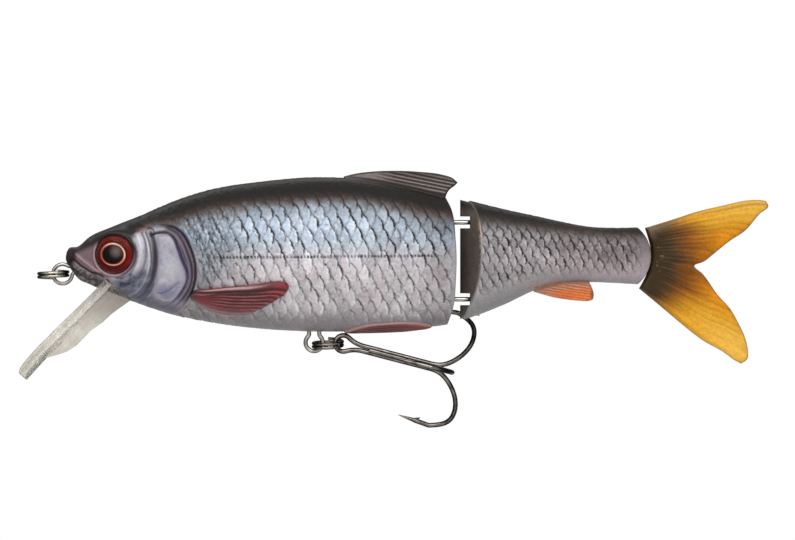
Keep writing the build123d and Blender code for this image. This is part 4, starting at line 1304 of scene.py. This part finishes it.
# anal fin: a small orange blade
top = [(87.2, -2.3), (91.0, -1.5), (94.5, -1.2), (97.8, -1.2)]
foot = [(87.7, -3.35), (91.6, -4.4), (94.6, -4.85), (97.5, -5.1)]
x, z, u, v = coons(top, foot, [], [(98.5, -2.6), (98.8, -3.7), (98.6, -4.75)], 130, 60)
q = z + 0.16 * (x - 92)
ray = np.cos(2 * math.pi * (q + 0.1 * grain(x, z, 1.5)) / 0.52)
body_low = np.interp(x, rear_body.x, rear_body.z[:, -1])
drop = body_low - z
on = smooth(0.0, 0.6, drop) * smooth(88, 91, x)
half = 0.5 + 0.3 * smooth(1.2, 0.0, drop) + 0.8 * smooth(0.5, -0.6, drop) ** 2 + 0.07 * ray * on
paint = mix(rgb(176, 122, 92), rgb(218, 108, 34), smooth(0.3, 2.1, drop) * smooth(88, 92.5, x))
paint = layers(
    paint,
    ((232, 132, 52), 0.5 * smooth(93, 97, x) * smooth(1.6, 2.6, drop)),
    ((236, 176, 128), 0.5 * smooth(0.35, 1, ray) * on * smooth(2.4, 0.8, drop)),
    ((168, 78, 30), 0.5 * smooth(0.0, -0.8, ray) * on),
    ((140, 100, 84), smooth(0.5, 0.0, drop)),
    ((120, 70, 42), 0.7 * smooth(0.5, 0.15, np.hypot(x - 98.45, (z + 3.9) * 0.4))),
)
anal = blade("anal_fin", x, z, half, 0.45, paint, 0.36)

# pectoral fins, moulded flat on the flanks
top = [
    (23.9, -3.6), (24.9, -2.95), (26.4, -2.9), (30.5, -2.4), (34.7, -2.0), (38.6, -1.45), (40.4, -1.3),
    (41.7, -1.5),
]
foot = [(24.0, -4.6), (24.9, -5.6), (26.4, -6.6), (28.6, -7.6), (30.8, -8.0), (34.2, -7.9)]
x, z, u, v = coons(
    top, foot, [], [(42.2, -2.1), (41.7, -3.6), (40.2, -4.7), (38.7, -5.6), (36.3, -6.9)], 190, 110,
)
d = rim_distance(x, z)
rays = np.cos(2 * math.pi * (v * 9.5 + 0.15 * grain(u * 6, v * 4, 1.0)))
on = smooth(0.12, 0.5, u)
thick = -0.35 + 0.95 * rounded(d, 0.55)
thick = (
    thick + 0.1 * rays * on + 0.22 * smooth(0.28, 0.05, v)
    * smooth(0.0, 0.2, u) - 0.15 * smooth(0.5, 1.0, v)
)
paint = mix(rgb(98, 20, 26), rgb(112, 44, 50), smooth(0.35, 0.9, v))
paint = layers(
    paint,
    ((132, 116, 120), smooth(0.7, 1.0, v) * 0.9),
    ((150, 26, 34), 0.8 * smooth(0.7, 0.95, u) * smooth(0.65, 0.1, v)),
    # painted shade in the grooves between the rays, and painted highlights on their crests
    ((50, 10, 14), 0.85 * smooth(0.1, -0.7, rays) * on * smooth(0.95, 0.4, v)),
    ((176, 96, 96), 0.55 * smooth(0.45, 1.0, rays) * on * smooth(0.2, 0.7, noise(u * 9, v * 9.5, 1.0))),
    (
        (36, 12, 14),
        0.85 * smooth(0.07, 0.02, np.abs(v - 0.17)) * smooth(0.02, 0.15, u) * smooth(0.9, 0.6, u),
    ),
    # painted highlight along the thick leading edge
    (
        (196, 156, 158),
        0.75 * smooth(0.05, 0.01, np.abs(v - 0.07)) * smooth(0.05, 0.2, u) * smooth(0.85, 0.6, u),
    ),
    # painted highlight curving over the root
    ((206, 128, 138), 0.7 * smooth(0.05, 0.01, np.abs(v - 0.36 + 0.9 * (u - 0.08))) * smooth(0.3, 0.05, u)),
    ((58, 34, 34), 0.85 * smooth(0.14, 0.02, u)),
)
for side, word in ((-1, "left"), (1, "right")):
    fin = applied(f"pectoral_fin_{word}", front_body, x, z, thick, side, paint, 0.34)
    dress(fin, fin_paint)
    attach(fin, "front")

# pelvic fins, folded along the keel: their outline is x and the distance round the skin from the keel
top = [(52.2, 0.9), (53.4, 1.8), (56.0, 2.9), (60.0, 3.35), (64.2, 3.2), (66.8, 2.6), (68.8, 1.5)]
foot = [(52.4, 0.6), (54.5, 0.35), (60.0, 0.3), (65.0, 0.35), (67.5, 0.6), (68.8, 1.1)]
x, w, u, v = coons(top, foot, [], [], 150, 44)
d = rim_distance(x, w)
rays = np.cos(2 * math.pi * (v * 5.5 + 0.1 * grain(u * 6, v * 4, 1.0)))
thick = -0.3 + 0.85 * rounded(d, 0.5) + 0.06 * rays * smooth(0.1, 0.4, u)
paint = mix(rgb(84, 34, 32), rgb(124, 60, 52), smooth(0.5, 1.0, u))
paint = layers(
    paint,
    ((78, 22, 26), 0.7 * smooth(0.35, 0.0, u)),
    ((150, 88, 82), 0.5 * smooth(0.5, 1.0, rays)),
    ((172, 138, 138), 0.85 * smooth(0.42, 0.1, d) * smooth(0.5, 0.2, v)),
)
for side, word in ((-1, "left"), (1, "right")):
    fin = wrapped(f"pelvic_fin_{word}", front_body, x, w, thick, side, paint, 0.36)
    dress(fin, fin_paint)
    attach(fin, "front")

for fin, body, name in ((dorsal, "front", "front_paint"), (anal, "rear", "rear_paint")):
    dress(fin, fin_paint)
    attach(fin, body)

# ------------------------------------------------------------------ tail
top = [
    (108.3, 8.55), (110.8, 9.3), (114.3, 10.4), (118.0, 11.6), (122.7, 12.7), (127.5, 13.7),
    (129.8, 13.75), (130.8, 13.6),
]
foot = [
    (107.2, -2.7), (108.9, -4.1), (111.8, -6.5), (115.0, -9.2), (119.3, -12.5), (122.7, -14.4),
    (125.1, -16.1), (126.2, -16.7),
]
front = [(108.9, 6.7), (109.3, 5.0), (109.35, 3.7), (109.1, 1.9), (108.6, 0.0), (107.9, -1.5)]
back = [
    (131.3, 12.7), (129.7, 11.2), (126.9, 8.0), (124.2, 6.2), (121.2, 3.8), (119.3, 2.3), (117.5, 1.5),
    (118.9, 0.2), (121.9, -3.9), (124.2, -6.5), (125.8, -9.3), (126.9, -11.7), (127.5, -14.5),
    (127.4, -15.8),
]
x, z, u, v = coons(top, foot, front, back, 220, 215)
d = rim_distance(x, z)
half = np.interp(x, [107, 110, 115, 122, 132], [1.5, 1.4, 1.0, 0.62, 0.35])
streak = grain(v * 26, u * 2.2, 1.0, 1)
fine = grain(v * 60, u * 3.0, 1.0, 2)
ray = np.cos(2 * math.pi * (v * 24 + 0.25 * grain(v * 9, u * 1.5, 1.0)))
on = smooth(0.06, 0.35, u)
half = half + (0.03 * ray + 0.05 * fine + 0.03 * streak) * on * smooth(0.0, 0.6, d)
lobe = np.abs(v - 0.47) * 2
amber = mix(rgb(204, 130, 0), rgb(222, 160, 30), smooth(0.25, 0.8, lobe))
amber = layers(
    amber,
    ((236, 186, 78), smooth(0.55, 0.95, lobe) * smooth(0.35, 0.9, u) * 0.8),
    ((232, 146, 8), 0.7 * smooth(0.62, 0.95, u) * smooth(0.75, 0.35, lobe)),
)
reach = np.hypot((x - 107.5), (z - 3.0) * 0.85) + 1.3 * streak
core = mix(rgb(58, 44, 22), rgb(146, 82, 0), smooth(5.2, 12.0, reach))
paint = mix(core, amber, smooth(9.0, 17.0, reach + 3.0 * smooth(0.35, 0.9, lobe)))
paint = mix(
    paint, rgb(128, 108, 82), 0.7 * smooth(2.3, 0.5, d) * smooth(0.25, 0.05, v) * smooth(12, 5, reach),
)
paint = paint * (1 + 0.10 * streak + 0.07 * fine)[..., None]
paint = mix(
    paint, rgb(130, 84, 20),
    0.4 * smooth(-0.3, -0.9, ray) * on * smooth(0.4, 0.9, noise(v * 30, u * 4, 1.0, 3)),
)
dots = (
    smooth(0.35, 0.7, grain(x, z, 0.55, 3))
    * smooth(1.9, 0.8, np.abs(x - 110.9)) * smooth(3.2, 1.8, np.abs(z - 3.0))
)
paint = layers(
    paint,
    ((158, 112, 84), 0.6 * dots),
    ((30, 22, 16), 0.9 * smooth(0.8, 0.2, d) * smooth(0.05, 0.0, u)),
    ((120, 84, 40), 0.55 * smooth(0.35, 0.05, d)),
)
tail = blade("tail_fin_soft", x, z, half, 0.9, paint, 0.4)
dress(tail, tail_rubber)
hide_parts("tail_fin", "tail_tang")
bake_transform(tail)

# ------------------------------------------------------------------ studio
FLOOR_X, FLOOR_Z, FLOOR_STEPS = 0.062, -0.076, 96  # middle and height in metres, points round a ring
bm = bmesh.new()
rings = [0.0, 0.06, 0.12, 0.18, 0.22, 0.26]
rows = []
for r in rings:
    rows.append(
        [
            bm.verts.new(
                (FLOOR_X + r * math.cos(a), r * math.sin(a), FLOOR_Z)
            ) for a in np.linspace(0, 2 * math.pi, FLOOR_STEPS + 1)[:-1]
        ]
    )
for a, b in zip(rows, rows[1:]):
    for k in range(FLOOR_STEPS):
        bm.faces.new((a[k], a[(k + 1) % FLOOR_STEPS], b[(k + 1) % FLOOR_STEPS], b[k]))
bmesh.ops.remove_doubles(bm, verts=bm.verts, dist=1e-6)
bmesh.ops.recalc_face_normals(bm, faces=bm.faces)
mesh = bpy.data.meshes.new("studio_floor")
bm.to_mesh(mesh)
bm.free()
floor = bpy.data.objects.new("studio_floor", mesh)
bpy.context.scene.collection.objects.link(floor)
mat, tree, shader = plain("pale_floor", rgb(240, 240, 240), rgb(244, 244, 243), 60, (0.7, 0.8), 0.00005)
spot = add(tree, "ShaderNodeTexCoord").outputs["Object"]
away = add(tree, "ShaderNodeVectorMath", {0: spot, 1: (FLOOR_X, 0, FLOOR_Z)}, operation="DISTANCE")
tree.links.new(ramp(tree, away.outputs["Value"], 0.13, 0.25, 1.0, 0.0), shader.inputs["Alpha"])
dress(floor, mat)

world = bpy.data.worlds.new("studio")
bpy.context.scene.world = world
world.use_nodes = True
tree = world.node_tree
tree.nodes.clear()
direction = add(tree, "ShaderNodeTexCoord").outputs["Generated"]
axes = add(tree, "ShaderNodeSeparateXYZ", {"Vector": direction})
sky = ramp(tree, axes.outputs["Z"], -1.0, 0.25, 0.05, 0.6)
path = add(tree, "ShaderNodeLightPath")
behind = ramp(tree, axes.outputs["Y"], 0.0, 0.6, 0.0, 0.72)
mirrored = add(tree, "ShaderNodeMath", {0: path.outputs["Is Glossy Ray"], 1: behind}, operation="MULTIPLY")
kept = add(tree, "ShaderNodeMath", {0: 1.0, 1: mirrored.outputs[0]}, operation="SUBTRACT")
sky = add(tree, "ShaderNodeMath", {0: sky, 1: kept.outputs[0]}, operation="MULTIPLY").outputs[0]
soft = add(tree, "ShaderNodeBackground", {"Color": (1, 1, 1, 1), "Strength": sky})
white = add(tree, "ShaderNodeBackground", {"Color": (1, 1, 1, 1), "Strength": 1.0})
seen = add(tree, "ShaderNodeMath", operation="MAXIMUM")
tree.links.new(path.outputs["Is Camera Ray"], seen.inputs[0])
tree.links.new(path.outputs["Is Transmission Ray"], seen.inputs[1])
both = add(tree, "ShaderNodeMixShader", {0: seen.outputs[0], 1: soft.outputs[0], 2: white.outputs[0]})
out = add(tree, "ShaderNodeOutputWorld", {"Surface": both.outputs[0]})


def lamp(name, at, aim, size, power, colour=(1, 1, 1)):
    light = bpy.data.lights.new(name, "AREA")
    light.shape = "RECTANGLE"
    light.size, light.size_y = size
    light.energy = power
    light.color = colour
    obj = bpy.data.objects.new(name, light)
    obj.location = at
    obj.rotation_euler = (Vector(aim) - Vector(at)).to_track_quat("-Z", "Y").to_euler()
    bpy.context.scene.collection.objects.link(obj)
    return obj


middle = (0.06, 0, 0.002)
lamp("key", (-0.02, -0.62, 0.5), middle, (0.9, 0.6), 4.4)
lamp("back_strip", (0.06, 0.42, 0.5), middle, (1.0, 0.3), 0.8)

camera = bpy.data.cameras.new("camera")
camera.sensor_width = 36
camera.lens = 292.1
camera.clip_start = 0.01
view = bpy.data.objects.new("camera", camera)
view.location = (0.0623, -1.2, 0.00074)
view.rotation_euler = (math.pi / 2, 0, 0)
bpy.context.scene.collection.objects.link(view)
bpy.context.scene.camera = view
bpy.context.scene.view_settings.view_transform = "Standard"
bpy.context.scene.view_settings.look = "None"
